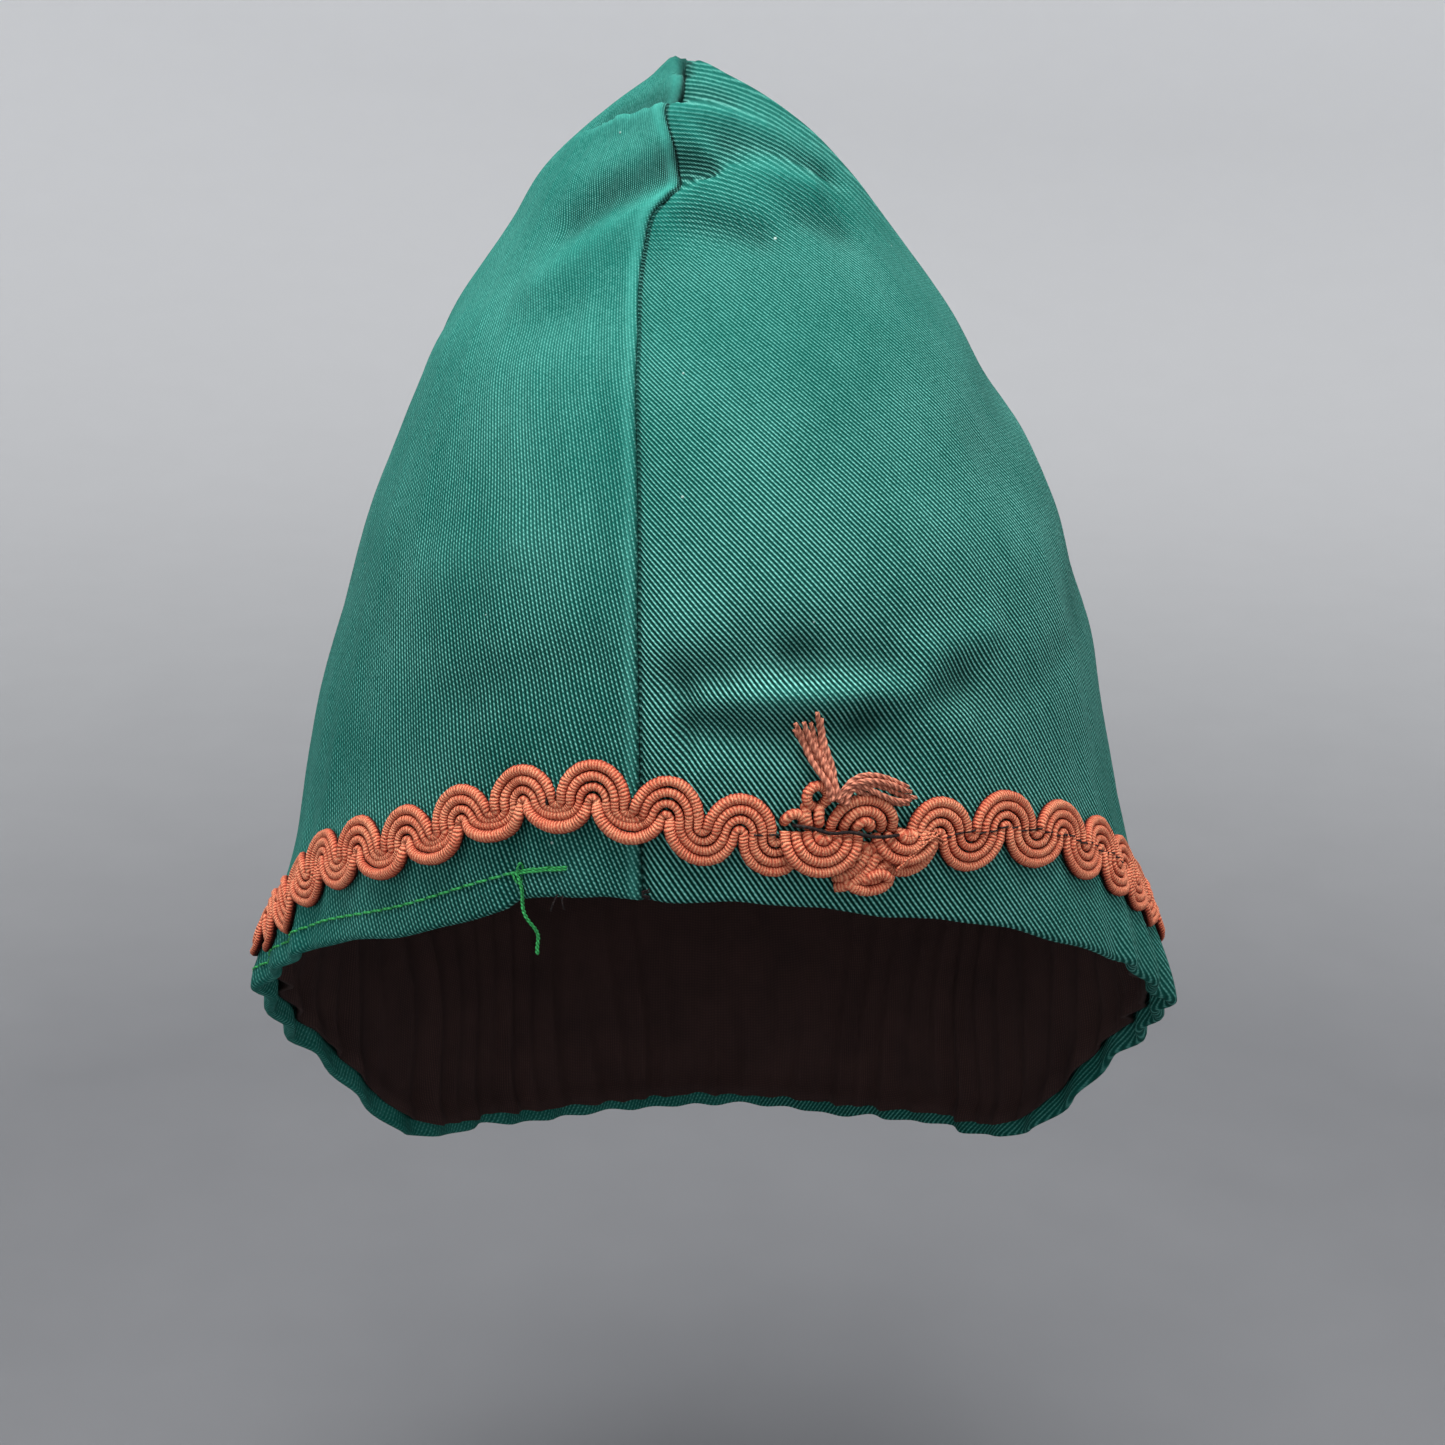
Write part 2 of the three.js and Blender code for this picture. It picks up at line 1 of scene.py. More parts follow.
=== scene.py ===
"""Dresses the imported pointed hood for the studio.

A hood of cotton drill in two panels, with a dark pleated lining, a scrolled gimp braid with its
doubled ends and frayed tails, and the stitches and stray threads that show.

Lengths are metres, +Z up, and the hood's opening looks along -Y. A turn is an angle in degrees
round the upright axis, 0 at the front and growing to +X. A level is a height as a share of the
peak's height above the front hem, or of the nape's drop below it. A rise is a height above the
hem, square to the hem's line. A depth goes into the cloth from its face.
"""

from __future__ import annotations

import logging
import math
from dataclasses import dataclass
from enum import Enum
from functools import cached_property

import bpy
import numpy as np
from mathutils import Matrix, Vector

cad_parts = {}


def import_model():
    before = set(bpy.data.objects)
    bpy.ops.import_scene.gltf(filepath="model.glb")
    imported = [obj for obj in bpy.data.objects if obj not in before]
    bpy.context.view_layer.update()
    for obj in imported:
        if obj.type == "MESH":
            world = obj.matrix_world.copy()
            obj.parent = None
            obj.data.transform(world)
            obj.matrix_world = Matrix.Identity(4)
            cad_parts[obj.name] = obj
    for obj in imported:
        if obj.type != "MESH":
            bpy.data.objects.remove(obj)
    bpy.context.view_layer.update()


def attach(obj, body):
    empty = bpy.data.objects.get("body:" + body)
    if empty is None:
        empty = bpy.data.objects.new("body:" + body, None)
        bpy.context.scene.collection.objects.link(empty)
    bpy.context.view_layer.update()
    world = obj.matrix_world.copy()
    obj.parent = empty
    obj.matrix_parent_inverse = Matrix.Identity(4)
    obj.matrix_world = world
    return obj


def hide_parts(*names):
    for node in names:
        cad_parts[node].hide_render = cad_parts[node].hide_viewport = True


log = logging.getLogger("hood")

MM = 0.001


# Curves and blends

Rows = tuple[tuple[float, ...], ...]


def smoothstep(x: np.ndarray, low: float, high: float) -> np.ndarray:
    """Nothing below low, 1 above high, and 3t^2 - 2t^3 between them."""
    t = np.clip((x - low) / (high - low), 0, 1)
    return t * t * (3 - 2 * t)


def unit(vectors: np.ndarray) -> np.ndarray:
    """The vectors at length 1."""
    return vectors / np.maximum(np.linalg.norm(vectors, axis=-1, keepdims=True), 1e-12)


@dataclass(frozen=True)
class SmoothLine:
    """A smooth curve through one column of a short table.

    Between two rows it is a cubic whose slope at each row is its neighbours' slopes, each
    weighted with the other's step. With flat ends the curve joins itself round the hood.
    """

    rows: Rows
    column: int = 1
    flat_ends: bool = False

    @cached_property
    def _parts(self) -> tuple[np.ndarray, np.ndarray, np.ndarray, np.ndarray]:
        """The rows' places, values, steps and slopes."""
        places = np.array([row[0] for row in self.rows], float)
        values = np.array([row[self.column] for row in self.rows], float)
        steps = np.diff(places)
        rises = np.diff(values) / steps
        inner = (rises[:-1] * steps[1:] + rises[1:] * steps[:-1]) / (steps[:-1] + steps[1:])
        first, last = (0.0, 0.0) if self.flat_ends else (rises[0], rises[-1])
        return places, values, steps, np.concatenate([[first], inner, [last]])

    def __call__(self, x: np.ndarray) -> np.ndarray:
        """The curve's value at each x.

        Args:
            x: Places along the curve.

        Returns:
            The values there.
        """
        places, values, steps, slopes = self._parts
        x = np.asarray(x, float)
        i = np.clip(np.searchsorted(places, x, side="left") - 1, 0, len(steps) - 1)
        t = np.clip((x - places[i]) / steps[i], 0, 1)
        start = (1 + 2 * t) * (1 - t) ** 2 * values[i] + t * (1 - t) ** 2 * steps[i] * slopes[i]
        end = t * t * (3 - 2 * t) * values[i + 1] - t * t * (1 - t) * steps[i] * slopes[i + 1]
        return start + end


def wrapped(turn: np.ndarray) -> np.ndarray:
    """The same turn between -180 and 180."""
    return np.mod(np.asarray(turn, float) + 180, 360) - 180


def running(steps: np.ndarray) -> np.ndarray:
    """The sum of the steps before each place, with nothing at the first."""
    return np.concatenate([[0], np.cumsum(steps)])


def lengths_along(path: np.ndarray) -> np.ndarray:
    """The length along a path at each of its points."""
    return running(np.linalg.norm(np.diff(path, axis=0), axis=1))


# Meshes


@dataclass
class Patch:
    """Part of a mesh: points, faces of any size, and a UV place for each corner of a face."""

    points: np.ndarray
    corners: np.ndarray
    sizes: np.ndarray
    places: np.ndarray

    @classmethod
    def grid(cls, points: np.ndarray, places: np.ndarray, ring: bool = False) -> Patch:
        """Faces between the rows of a grid of points.

        Args:
            points: Rows by columns by 3. Faces look to the side from which columns that grow
                to the right and rows that grow upwards are seen.
            places: UV for each row and column, with one column more where the grid is a ring.
            ring: Whether the last column joins the first.

        Returns:
            The patch. Where a row's points all coincide, its faces are triangles.
        """
        rows, columns = points.shape[:2]
        index = np.arange(rows * columns).reshape(rows, columns)
        collapsed = np.ptp(points.reshape(rows, -1, 3), axis=1).max(axis=1) < 1e-9
        index[collapsed] = index[collapsed][:, :1]
        if ring:
            index = np.concatenate([index, index[:, :1]], axis=1)
        flat = np.stack([index[:-1, :-1], index[:-1, 1:], index[1:, 1:], index[1:, :-1]], axis=-1)
        spots = np.stack([places[:-1, :-1], places[:-1, 1:], places[1:, 1:], places[1:, :-1]], axis=2)
        return cls.faces(points.reshape(-1, 3), flat.reshape(-1, 4), spots.reshape(-1, 4, 2))

    @classmethod
    def faces(cls, points: np.ndarray, quads: np.ndarray, spots: np.ndarray) -> Patch:
        """Faces of four corners, of which a corner that repeats the one before it is left out.

        Args:
            points: The points.
            quads: Four points to a face, by number.
            spots: The UV of each of those corners.

        Returns:
            The patch. A face with fewer than three corners left is dropped.
        """
        kept = quads != np.roll(quads, 1, axis=1)
        whole = kept.sum(axis=1) >= 3
        kept = kept & whole[:, None]
        return cls(points, quads[kept], kept.sum(axis=1)[whole], spots[kept])

    @classmethod
    def joined(cls, patches: list[Patch]) -> Patch:
        """Several patches as one, with their points kept apart.

        Args:
            patches: The patches.

        Returns:
            One patch.
        """
        starts = np.cumsum([0] + [len(patch.points) for patch in patches[:-1]])
        return cls(
            np.concatenate([patch.points for patch in patches]),
            np.concatenate([patch.corners + start for patch, start in zip(patches, starts)]),
            np.concatenate([patch.sizes for patch in patches]),
            np.concatenate([patch.places for patch in patches]),
        )

    def made(
        self, name: str, material: bpy.types.Material, shades: dict[str, np.ndarray] | None = None
    ) -> bpy.types.Object:
        """A smooth-shaded object of the patch.

        Args:
            name: The piece's name.
            material: Its finish.
            shades: Values at the points, by the name of the attribute that holds them.

        Returns:
            The object, in the scene's collection.
        """
        used, corners = np.unique(self.corners, return_inverse=True)
        mesh = bpy.data.meshes.new(name)
        mesh.vertices.add(len(used))
        mesh.vertices.foreach_set("co", self.points[used].astype(np.float32).ravel())
        mesh.loops.add(len(corners))
        mesh.loops.foreach_set("vertex_index", corners.astype(np.int32).ravel())
        mesh.polygons.add(len(self.sizes))
        mesh.polygons.foreach_set("loop_start", running(self.sizes)[:-1].astype(np.int32))
        mesh.polygons.foreach_set("loop_total", self.sizes.astype(np.int32))
        layer = mesh.uv_layers.new(name="UVMap")
        layer.data.foreach_set("uv", self.places.astype(np.float32).ravel())
        for label, values in (shades or {}).items():
            attribute = mesh.attributes.new(label, "FLOAT", "POINT")
            attribute.data.foreach_set("value", values[used].astype(np.float32))
        mesh.update(calc_edges=True)
        mesh.validate()
        mesh.polygons.foreach_set("use_smooth", np.ones(len(mesh.polygons), bool))
        mesh.materials.append(material)
        piece = bpy.data.objects.new(name, mesh)
        bpy.context.scene.collection.objects.link(piece)
        return piece


def tube(path: np.ndarray, up: np.ndarray, radius: float | np.ndarray, sides: int) -> Patch:
    """A closed tube along a path, with the length along it as u and the share round it as v.

    Each ring is the path's point plus radius times (sin a · up' - cos a · across), where across
    is square to the path and to up, and up' is square to both.

    Args:
        path: The points that it follows.
        up: A direction at each point, roughly square to the path.
        radius: The radius at each point, or one for all.
        sides: Points to a ring.

    Returns:
        The tube, with both ends closed by fans.
    """
    forward = unit(np.gradient(path, axis=0))
    across = unit(np.cross(up, forward))
    square = unit(np.cross(forward, across))
    radius = np.broadcast_to(np.asarray(radius, float), len(path))
    angle = 2 * np.pi * np.arange(sides) / sides
    upwards = np.sin(angle)[None, :, None] * square[:, None, :]
    sideways = np.cos(angle)[None, :, None] * across[:, None, :]
    rings = path[:, None, :] + radius[:, None, None] * (upwards - sideways)
    ends = np.repeat(path[[0, -1]][:, None, :], sides, axis=1)
    points = np.concatenate([ends[:1], rings, ends[1:]])
    lengths = lengths_along(path)
    lengths = np.concatenate([[0], lengths, [lengths[-1]]])
    places = np.stack(np.meshgrid(lengths, np.arange(sides + 1) / sides, indexing="ij"), axis=-1)
    return Patch.grid(points, places, ring=True)


def handed_over(piece: bpy.types.Object, node: str) -> bpy.types.Object:
    """The piece, once it rides on the root body and the solid that it stands for is hidden.

    Args:
        piece: The piece.
        node: The solid that it stands for.

    Returns:
        The piece.
    """
    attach(piece, "root")
    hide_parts(node)
    return piece


# The hood's form


class FoldKind(Enum):
    """How a fold's relief falls away from its line."""

    ROUND = "a swell or dent: exp(-(d / w)^2)"
    CREASE = "a sharp ridge or nip: exp(-sqrt((d / w)^2 + 0.03))"
    LEDGE = "cloth above the line tucked in and below it proud: -tanh(s / edge) exp(-(d / w)^2)"


@dataclass(frozen=True)
class Fold:
    """A fold along a straight line from one turn and level to another, sizes in millimetres."""

    start: tuple[float, float]
    end: tuple[float, float]
    width: float
    height: float
    kind: FoldKind = FoldKind.ROUND


FOLDS: tuple[Fold, ...] = (
    # The ledge under the peak, and its lip
    Fold((-14, 0.948), (-66, 0.915), 3.5, -1.7),
    Fold((-14, 0.925), (-66, 0.885), 4.0, 1.0),
    # The fold from the jog, left, its end, and the valley above it
    Fold((-7, 0.826), (-42, 0.714), 6.0, 1.7),
    Fold((-42, 0.714), (-74, 0.615), 8.0, 0.8),
    Fold((-9, 0.85), (-40, 0.8), 6.0, -2.0),
    # The pocket right of the seam, and its upper edge
    Fold((3, 0.88), (14, 0.875), 6.0, -3.0),
    Fold((-2, 0.932), (39, 0.91), 3.2, 0.9),
    # The valley beside the peak, and the ridge under it
    Fold((14, 0.912), (65, 0.844), 3.5, -1.1),
    Fold((16, 0.862), (45, 0.833), 4.0, 1.2),
    Fold((37, 0.819), (47, 0.781), 6.0, -0.8),
    # Dents in the sides
    Fold((-100, 0.54), (-37, 0.7), 9.0, -1.6),
    Fold((100, 0.56), (60, 0.5), 11.0, -1.5),
    Fold((105, 0.3), (72, 0.24), 11.0, -1.4),
    # The wrinkle over the braid, with the hollows under and above it
    Fold((8, 0.265), (26, 0.25), 8.0, 2.6),
    Fold((3, 0.2), (24, 0.185), 7.0, -1.6),
    Fold((6, 0.33), (40, 0.26), 8.0, -1.6),
    # The tuck at the front left
    Fold((-26, 0.13), (-24.5, -0.02), 2.8, -1.2),
    # Drapes at the back, and the hollow of the nape
    Fold((-150, 0.35), (-128, -0.5), 13.0, 2.5),
    Fold((146, 0.3), (126, -0.5), 13.0, 2.5),
    Fold((172, -0.35), (165, -0.8), 16.0, -3.0),
)

FINE_FOLDS: tuple[Fold, ...] = (
    # The ledge's edge, in two stretches
    Fold((-13.5, 0.938), (-40, 0.918), 3.0, 1.3, FoldKind.LEDGE),
    Fold((-40, 0.918), (-66, 0.9), 3.0, 1.0, FoldKind.LEDGE),
    # Right of the seam: the hollow under the tip, and the edge below it
    Fold((2, 0.958), (34, 0.947), 3.0, -1.1),
    Fold((-3, 0.932), (24, 0.924), 1.6, 0.9, FoldKind.CREASE),
    Fold((24, 0.924), (42, 0.908), 1.8, 0.7, FoldKind.CREASE),
    # The pocket and its crisp edges
    Fold((-4, 0.884), (8, 0.874), 3.2, -1.9),
    Fold((-5, 0.92), (16.5, 0.872), 1.3, 0.8, FoldKind.CREASE),
    Fold((-5, 0.832), (5.5, 0.848), 1.6, 0.8, FoldKind.CREASE),
    Fold((5.5, 0.848), (17, 0.867), 1.6, 1.0, FoldKind.CREASE),
    # The valley beside the peak, the ridge under it, and the hollows below
    Fold((20, 0.9), (62, 0.85), 2.8, -1.1),
    Fold((17, 0.867), (45, 0.835), 2.0, 1.0, FoldKind.CREASE),
    Fold((1, 0.808), (20, 0.786), 4.5, -1.4),
    Fold((36, 0.8), (48, 0.78), 4.0, -0.7),
    # Left of the seam: the hollow, and the roll that runs down from the jog
    Fold((-13, 0.87), (-32, 0.842), 4.2, -1.0),
    Fold((-7, 0.83), (-23, 0.79), 2.2, 0.9, FoldKind.CREASE),
    Fold((-23, 0.79), (-42, 0.72), 3.2, 0.6, FoldKind.CREASE),
    # Two lobes at the tip with a nip between them
    Fold((-85, 0.985), (-60, 0.992), 3.0, 1.1),
    Fold((70, 0.985), (40, 0.993), 3.0, 0.5),
    Fold((-8.5, 0.982), (-8.5, 1.0), 1.9, -2.6),
    # Soft creases over the front
    Fold((-30, 0.42), (-48, 0.36), 7.0, 0.6),
    Fold((-18, 0.3), (-38, 0.22), 6.0, -0.6),
    Fold((35, 0.44), (60, 0.36), 9.0, 0.6),
    # The wrinkle over the braid: its ridge, and the valleys above and under it
    Fold((-5, 0.283), (12, 0.3), 4.6, -2.1),
    Fold((12, 0.3), (27, 0.28), 4.4, -1.9),
    Fold((-4, 0.35), (14, 0.37), 6.0, 0.5),
    Fold((0, 0.262), (10, 0.263), 2.4, 1.0, FoldKind.CREASE),
    Fold((10, 0.263), (18, 0.252), 2.6, 0.8, FoldKind.CREASE),
    Fold((-3, 0.226), (20, 0.22), 3.8, -1.8),
    Fold((20, 0.218), (37, 0.238), 4.2, -1.5),
    Fold((29, 0.29), (42, 0.292), 4.5, 1.3),
    Fold((-4, 0.27), (-3.5, 0.19), 2.0, -0.9),
    Fold((0, 0.185), (12, 0.17), 4.0, 0.7),
    Fold((40, 0.2), (62, 0.22), 5.0, -0.7),
    Fold((-20, 0.13), (-17, 0.02), 4.0, 0.5),
    Fold((-27, 0.1), (-25.5, -0.03), 2.0, 0.5, FoldKind.CREASE),
)


@dataclass(frozen=True)
class HoodForm:
    """The shape that cloth, lining and braid share, with the solids' own sizes and tables."""

    peak_height: float = 0.156
    nape_drop: float = 0.160
    side_reach: float = 0.103
    front_reach: float = 0.105
    back_reach: float = 0.107
    hem_flare: float = 0.008
    flare_rise: float = 0.026
    seam_turn: float = -8.5
    seam_lap_height: float = 0.0008
    seam_lap_width: float = 0.007
    gather_pitch: float = 0.015
    gather_depth: float = 0.0034
    gather_rise: float = 0.020
    gather_start: float = 50
    growing_gathers: float = 2
    gather_shares: tuple[float, ...] = (0.8, 0.95, 0.65, 1.15, 0.75, 1.05, 0.6)
    ledge_edge: float = 0.0003
    # How the weave is laid out: the slimmer cone's power and its reach at the hem
    weave_power: float = 0.37
    weave_base: float = 0.1
    weave_tip: float = 0.012

    # Level, then the reach to the left, right, front and back, and the lean, as shares
    sections: Rows = (
        (-1.0, 0.92, 0.92, 0.9, 0.84, 0),
        (-0.7, 0.99, 0.99, 0.97, 0.94, 0),
        (-0.4, 1.03, 1.02, 1.0, 1.0, 0),
        (-0.2, 0.995, 0.98, 1.0, 1.01, 0),
        (0.06, 0.925, 0.895, 0.99, 1.0, 0),
        (0.22, 0.848, 0.845, 0.95, 0.95, 0),
        (0.375, 0.762, 0.771, 0.86, 0.86, -0.01),
        (0.48, 0.683, 0.703, 0.78, 0.78, -0.02),
        (0.625, 0.572, 0.575, 0.64, 0.65, -0.034),
        (0.775, 0.395, 0.418, 0.44, 0.46, -0.048),
        (0.85, 0.31, 0.335, 0.34, 0.35, -0.058),
        (0.91, 0.205, 0.245, 0.23, 0.25, -0.063),
        (0.97, 0.078, 0.1, 0.1, 0.11, -0.063),
        (1.0, 0, 0, 0, 0, -0.063),
    )
    # Turn, the hem's drop and its flare, as shares
    hem_rows: Rows = (
        (-180, 0.99, 0.25),
        (-140, 0.96, 0.4),
        (-115, 0.86, 0.5),
        (-98, 0.62, 0.85),
        (-82, 0.42, 1.0),
        (-60, 0.213, 0.6),
        (-40, 0.105, 0.3),
        (-20, 0.01, 0.1),
        (0, 0, 0),
        (20, 0.031, 0.1),
        (40, 0.106, 0.3),
        (60, 0.235, 0.6),
        (82, 0.44, 1.0),
        (98, 0.62, 0.85),
        (115, 0.86, 0.5),
        (140, 0.96, 0.4),
        (180, 0.99, 0.25),
    )
    # Share of the seam's height, and its wander in degrees
    seam_rows: Rows = (
        (0, 0),
        (0.25, -1.5),
        (0.5, -2.5),
        (0.66, -4),
        (0.77, -5),
        (0.805, -3),
        (0.84, 5),
        (0.89, 4),
        (0.935, -4),
        (0.965, 6),
        (1, 0),
    )

    @cached_property
    def _lines(self) -> list[SmoothLine]:
        """The curves of the sections: left, right, front, back and lean."""
        return [SmoothLine(self.sections, column) for column in range(1, 6)]

    def hem_height(self, turn: np.ndarray) -> np.ndarray:
        """The hem's height at each turn."""
        return -self.nape_drop * SmoothLine(self.hem_rows, 1, True)(wrapped(turn))

    def bare(self, turn: np.ndarray, height: np.ndarray) -> np.ndarray:
        """Points of the bare form: reach times the turn's sine and cosine, plus the lean.

        Args:
            turn: Turns of points.
            height: Their heights.

        Returns:
            The points.
        """
        turn, height = np.broadcast_arrays(np.asarray(turn, float), np.asarray(height, float))
        level = height / np.where(height < 0, self.nape_drop, self.peak_height)
        left, right, front, back, lean = (line(level) for line in self._lines)
        sine, cosine = np.sin(np.radians(turn)), np.cos(np.radians(turn))
        across = self.side_reach * np.where(sine < 0, left, right)
        along = np.where(cosine > 0, self.front_reach * front, self.back_reach * back)
        return np.stack([self.side_reach * lean + across * sine, -along * cosine, height], axis=-1)

    def smooth(self, turn: np.ndarray, v: np.ndarray) -> np.ndarray:
        """Points of the hood without relief: the bare form plus a flare that dies away upwards.

        Args:
            turn: Turns of points.
            v: Their v.

        Returns:
            The points.
        """
        turn, v = np.broadcast_arrays(np.asarray(turn, float), np.asarray(v, float))
        hem = self.hem_height(turn)
        above = (self.peak_height - hem) * v
        stand = self.hem_flare * SmoothLine(self.hem_rows, 2, True)(wrapped(turn))
        stand = stand * np.exp(-((above / self.flare_rise) ** 2))
        angle = np.radians(turn)
        flare = np.stack([np.sin(angle) * stand, -np.cos(angle) * stand, 0 * stand], axis=-1)
        return self.bare(turn, hem + above) + flare

    def directions(self, turn: np.ndarray, v: np.ndarray) -> tuple[np.ndarray, np.ndarray, np.ndarray]:
        """The form's change per degree of turn and per unit of v, and its normal.

        The normal turns upright over the last fortieth below the peak.

        Args:
            turn: Turns of points.
            v: Their v.

        Returns:
            The change per degree, the change per v, and the normal.
        """
        turn, v = np.broadcast_arrays(np.asarray(turn, float), np.asarray(v, float))
        turn_step, v_step = 0.5, 0.002
        low = np.minimum(v, 1 - 2 * v_step)
        along = (self.smooth(turn + turn_step, low) - self.smooth(turn - turn_step, low)) / (2 * turn_step)
        up = (self.smooth(turn, low + v_step) - self.smooth(turn, low - v_step)) / (2 * v_step)
        normal = unit(np.cross(along, up))
        tip = smoothstep(v, 0.975, 1.0)[..., None]
        return along, up, unit(normal * (1 - tip) + np.array([0.0, 0.0, 1.0]) * tip)

    def hem_cosine(self, turn: np.ndarray) -> np.ndarray:
        """How upright a height stands to the hem's line: the cosine of the hem's slope."""
        along = self.directions(turn, np.zeros_like(np.asarray(turn, float)))[0]
        return np.hypot(along[..., 0], along[..., 1]) / np.linalg.norm(along, axis=-1)

    def v_at_rise(self, turn: np.ndarray, rise: np.ndarray) -> np.ndarray:
        """The v of a rise."""
        return rise / self.hem_cosine(turn) / (self.peak_height - self.hem_height(turn))

    def rise_at(self, turn: np.ndarray, v: np.ndarray) -> np.ndarray:
        """The rise of a v."""
        return v * (self.peak_height - self.hem_height(turn)) * self.hem_cosine(turn)

    def fold_relief(self, points: np.ndarray, folds: tuple[Fold, ...] = FOLDS) -> np.ndarray:
        """The sum of the folds' reliefs, each by the distance to its line's nearest point.

        Args:
            points: Points on the form.
            folds: The folds to add up.

        Returns:
            How far the cloth stands out at each point.
        """
        relief = np.zeros(points.shape[:-1])
        for fold in folds:
            ends = np.array([fold.start, fold.end])
            scale = np.where(ends[:, 1] < 0, self.nape_drop, self.peak_height)
            first, last = self.bare(ends[:, 0], ends[:, 1] * scale)
            line = last - first
            share = np.clip((points - first) @ line / (line @ line), 0, 1)
            offset = points - first - share[..., None] * line
            distance = np.linalg.norm(offset, axis=-1) / (fold.width * MM)
            if fold.kind is FoldKind.CREASE:
                shape = np.exp(-np.sqrt(distance**2 + 0.03))
            else:
                shape = np.exp(-(distance**2))
            if fold.kind is FoldKind.LEDGE:
                upright = unit(np.array([0.0, 0.0, 1.0]) - unit(line)[2] * unit(line))
                shape = shape * -np.tanh(offset @ upright / self.ledge_edge)
            relief += fold.height * MM * shape
        return relief

    def panel_place(self, turn: np.ndarray) -> tuple[np.ndarray, np.ndarray]:
        """The side of the seam, 1 right or -1 left, and the degrees away from it."""
        right = np.mod(np.asarray(turn, float) - self.seam_turn, 360)
        return np.where(right <= 180, 1.0, -1.0), np.where(right <= 180, right, 360 - right)

    def gather_phase(self, turn: np.ndarray) -> np.ndarray:
        """How many gathers lie between the first one of the panel and each turn.

        Args:
            turn: Turns of points.

        Returns:
            The count, which is a whole number in each valley. Below 0 nothing is gathered.
        """
        side, away = self.panel_place(turn)
        start = self.gather_start - side * self.seam_turn
        span = 180 - start
        count = np.round(np.radians(span) * (self.side_reach + self.back_reach) / 2 / self.gather_pitch)
        return (away - start) / span * count

    def gather_relief(self, turn: np.ndarray, v: np.ndarray) -> np.ndarray:
        """Each gather swells out and falls back, most at the hem, and the first few grow in.

        Args:
            turn: Turns of points.
            v: Their v.

        Returns:
            How far the cloth stands out at each point.
        """
        phase = self.gather_phase(turn)
        shares = np.array(self.gather_shares)
        share = shares[np.floor(np.maximum(phase, 0)).astype(int) % len(shares)]
        swell = share * (1 - np.cos(2 * np.pi * phase)) / 2
        growth = smoothstep(phase, 0, self.growing_gathers)
        fall = np.exp(-self.rise_at(turn, v) / self.gather_rise)
        return self.gather_depth * (swell - 0.5) * growth * fall

    def seam_wander(self, turn: np.ndarray, v: np.ndarray) -> np.ndarray:
        """Degrees by which the front seam's wander moves a turn. It dies away in a quarter turn."""
        away = self.panel_place(turn)[1]
        return SmoothLine(self.seam_rows)(v) * np.maximum(0, 1 - away / 90)

    def seam_place(self, turn: np.ndarray, v: np.ndarray) -> tuple[np.ndarray, np.ndarray]:
        """The side of the wandering seam, and the degrees away from it."""
        return self.panel_place(turn - self.seam_wander(turn, v))

    def seam_distance(self, turn: np.ndarray, v: np.ndarray) -> tuple[np.ndarray, np.ndarray]:
        """The side of the wandering seam, and the distance from it along the cloth."""
        side, away = self.seam_place(turn, v)
        return side, away * np.linalg.norm(self.directions(turn, v)[0], axis=-1)

    def seam_relief(self, turn: np.ndarray, v: np.ndarray) -> np.ndarray:
        """The left panel stands proud beside the seam: height times exp(-(d / width)^4)."""
        side, distance = self.seam_distance(turn, v)
        return np.where(side > 0, 0, self.seam_lap_height * np.exp(-((distance / self.seam_lap_width) ** 4)))

    def cloth(self, turn: np.ndarray, v: np.ndarray, depth: np.ndarray) -> np.ndarray:
        """Points of the cloth at a depth below its face: the form plus all reliefs along its normal.

        Args:
            turn: Turns of points.
            v: Their v.
            depth: Their depths, below 0 for a height above the face.

        Returns:
            The points.
        """
        form = self.smooth(turn, v)
        relief = self.fold_relief(form) + self.fold_relief(form, FINE_FOLDS)
        relief = relief + self.seam_relief(turn, v) + self.gather_relief(turn, v)
        return form + (relief - depth)[..., None] * self.directions(turn, v)[2]

    def unrolled(self, points: np.ndarray, turn: np.ndarray, side: int) -> np.ndarray:
        """Where points lie on the weave of their panel, in metres at the hem.

        The cloth was pulled on the bias, so its wales keep nearly one slant all round and draw
        together upwards. Both follow from a slimmer cone of reach R = base·(r / base)^power and
        of length S, where dS = R / r·ds, that is laid out flat: across is R·a·sin(E)/E and up is
        S + R·a·(1 - cos E)/E. Here a is the angle from the panel's middle, r the hood's own
        reach, s the length up its side, and E is a times the slimmer cone's slope.

        Args:
            points: Points of the panel's face.
            turn: Their turns.
            side: The panel's side.

        Returns:
            The places across and up.
        """
        heights = np.linspace(-self.nape_drop, self.peak_height, 600)
        level = heights / np.where(heights < 0, self.nape_drop, self.peak_height)
        left, right, front, back, _ = (line(level) for line in self._lines)
        own = right if side > 0 else left
        reach = (self.side_reach * own + (self.front_reach * front + self.back_reach * back) / 2) / 2
        reach = np.maximum(reach, self.weave_tip)
        slim = self.weave_base * (reach / self.weave_base) ** self.weave_power
        steps = np.hypot(np.diff(reach), np.diff(heights))
        slope = -self.weave_power * np.gradient(reach, running(steps))
        slope = np.convolve(np.pad(slope, 20, mode="edge"), np.ones(41) / 41, mode="valid")
        grown = running(steps * (slim / reach)[1:])
        r, s, lean = (np.interp(points[..., 2], heights, table) for table in (slim, grown, slope))
        angle = np.radians(turn - (self.seam_turn + 90 * side))
        bend = lean * angle
        across = r * angle * np.sinc(bend / np.pi)
        up = s + r * angle * bend / 2 * np.sinc(bend / 2 / np.pi) ** 2
        return np.stack([across, up], axis=-1)


# Shader nodes


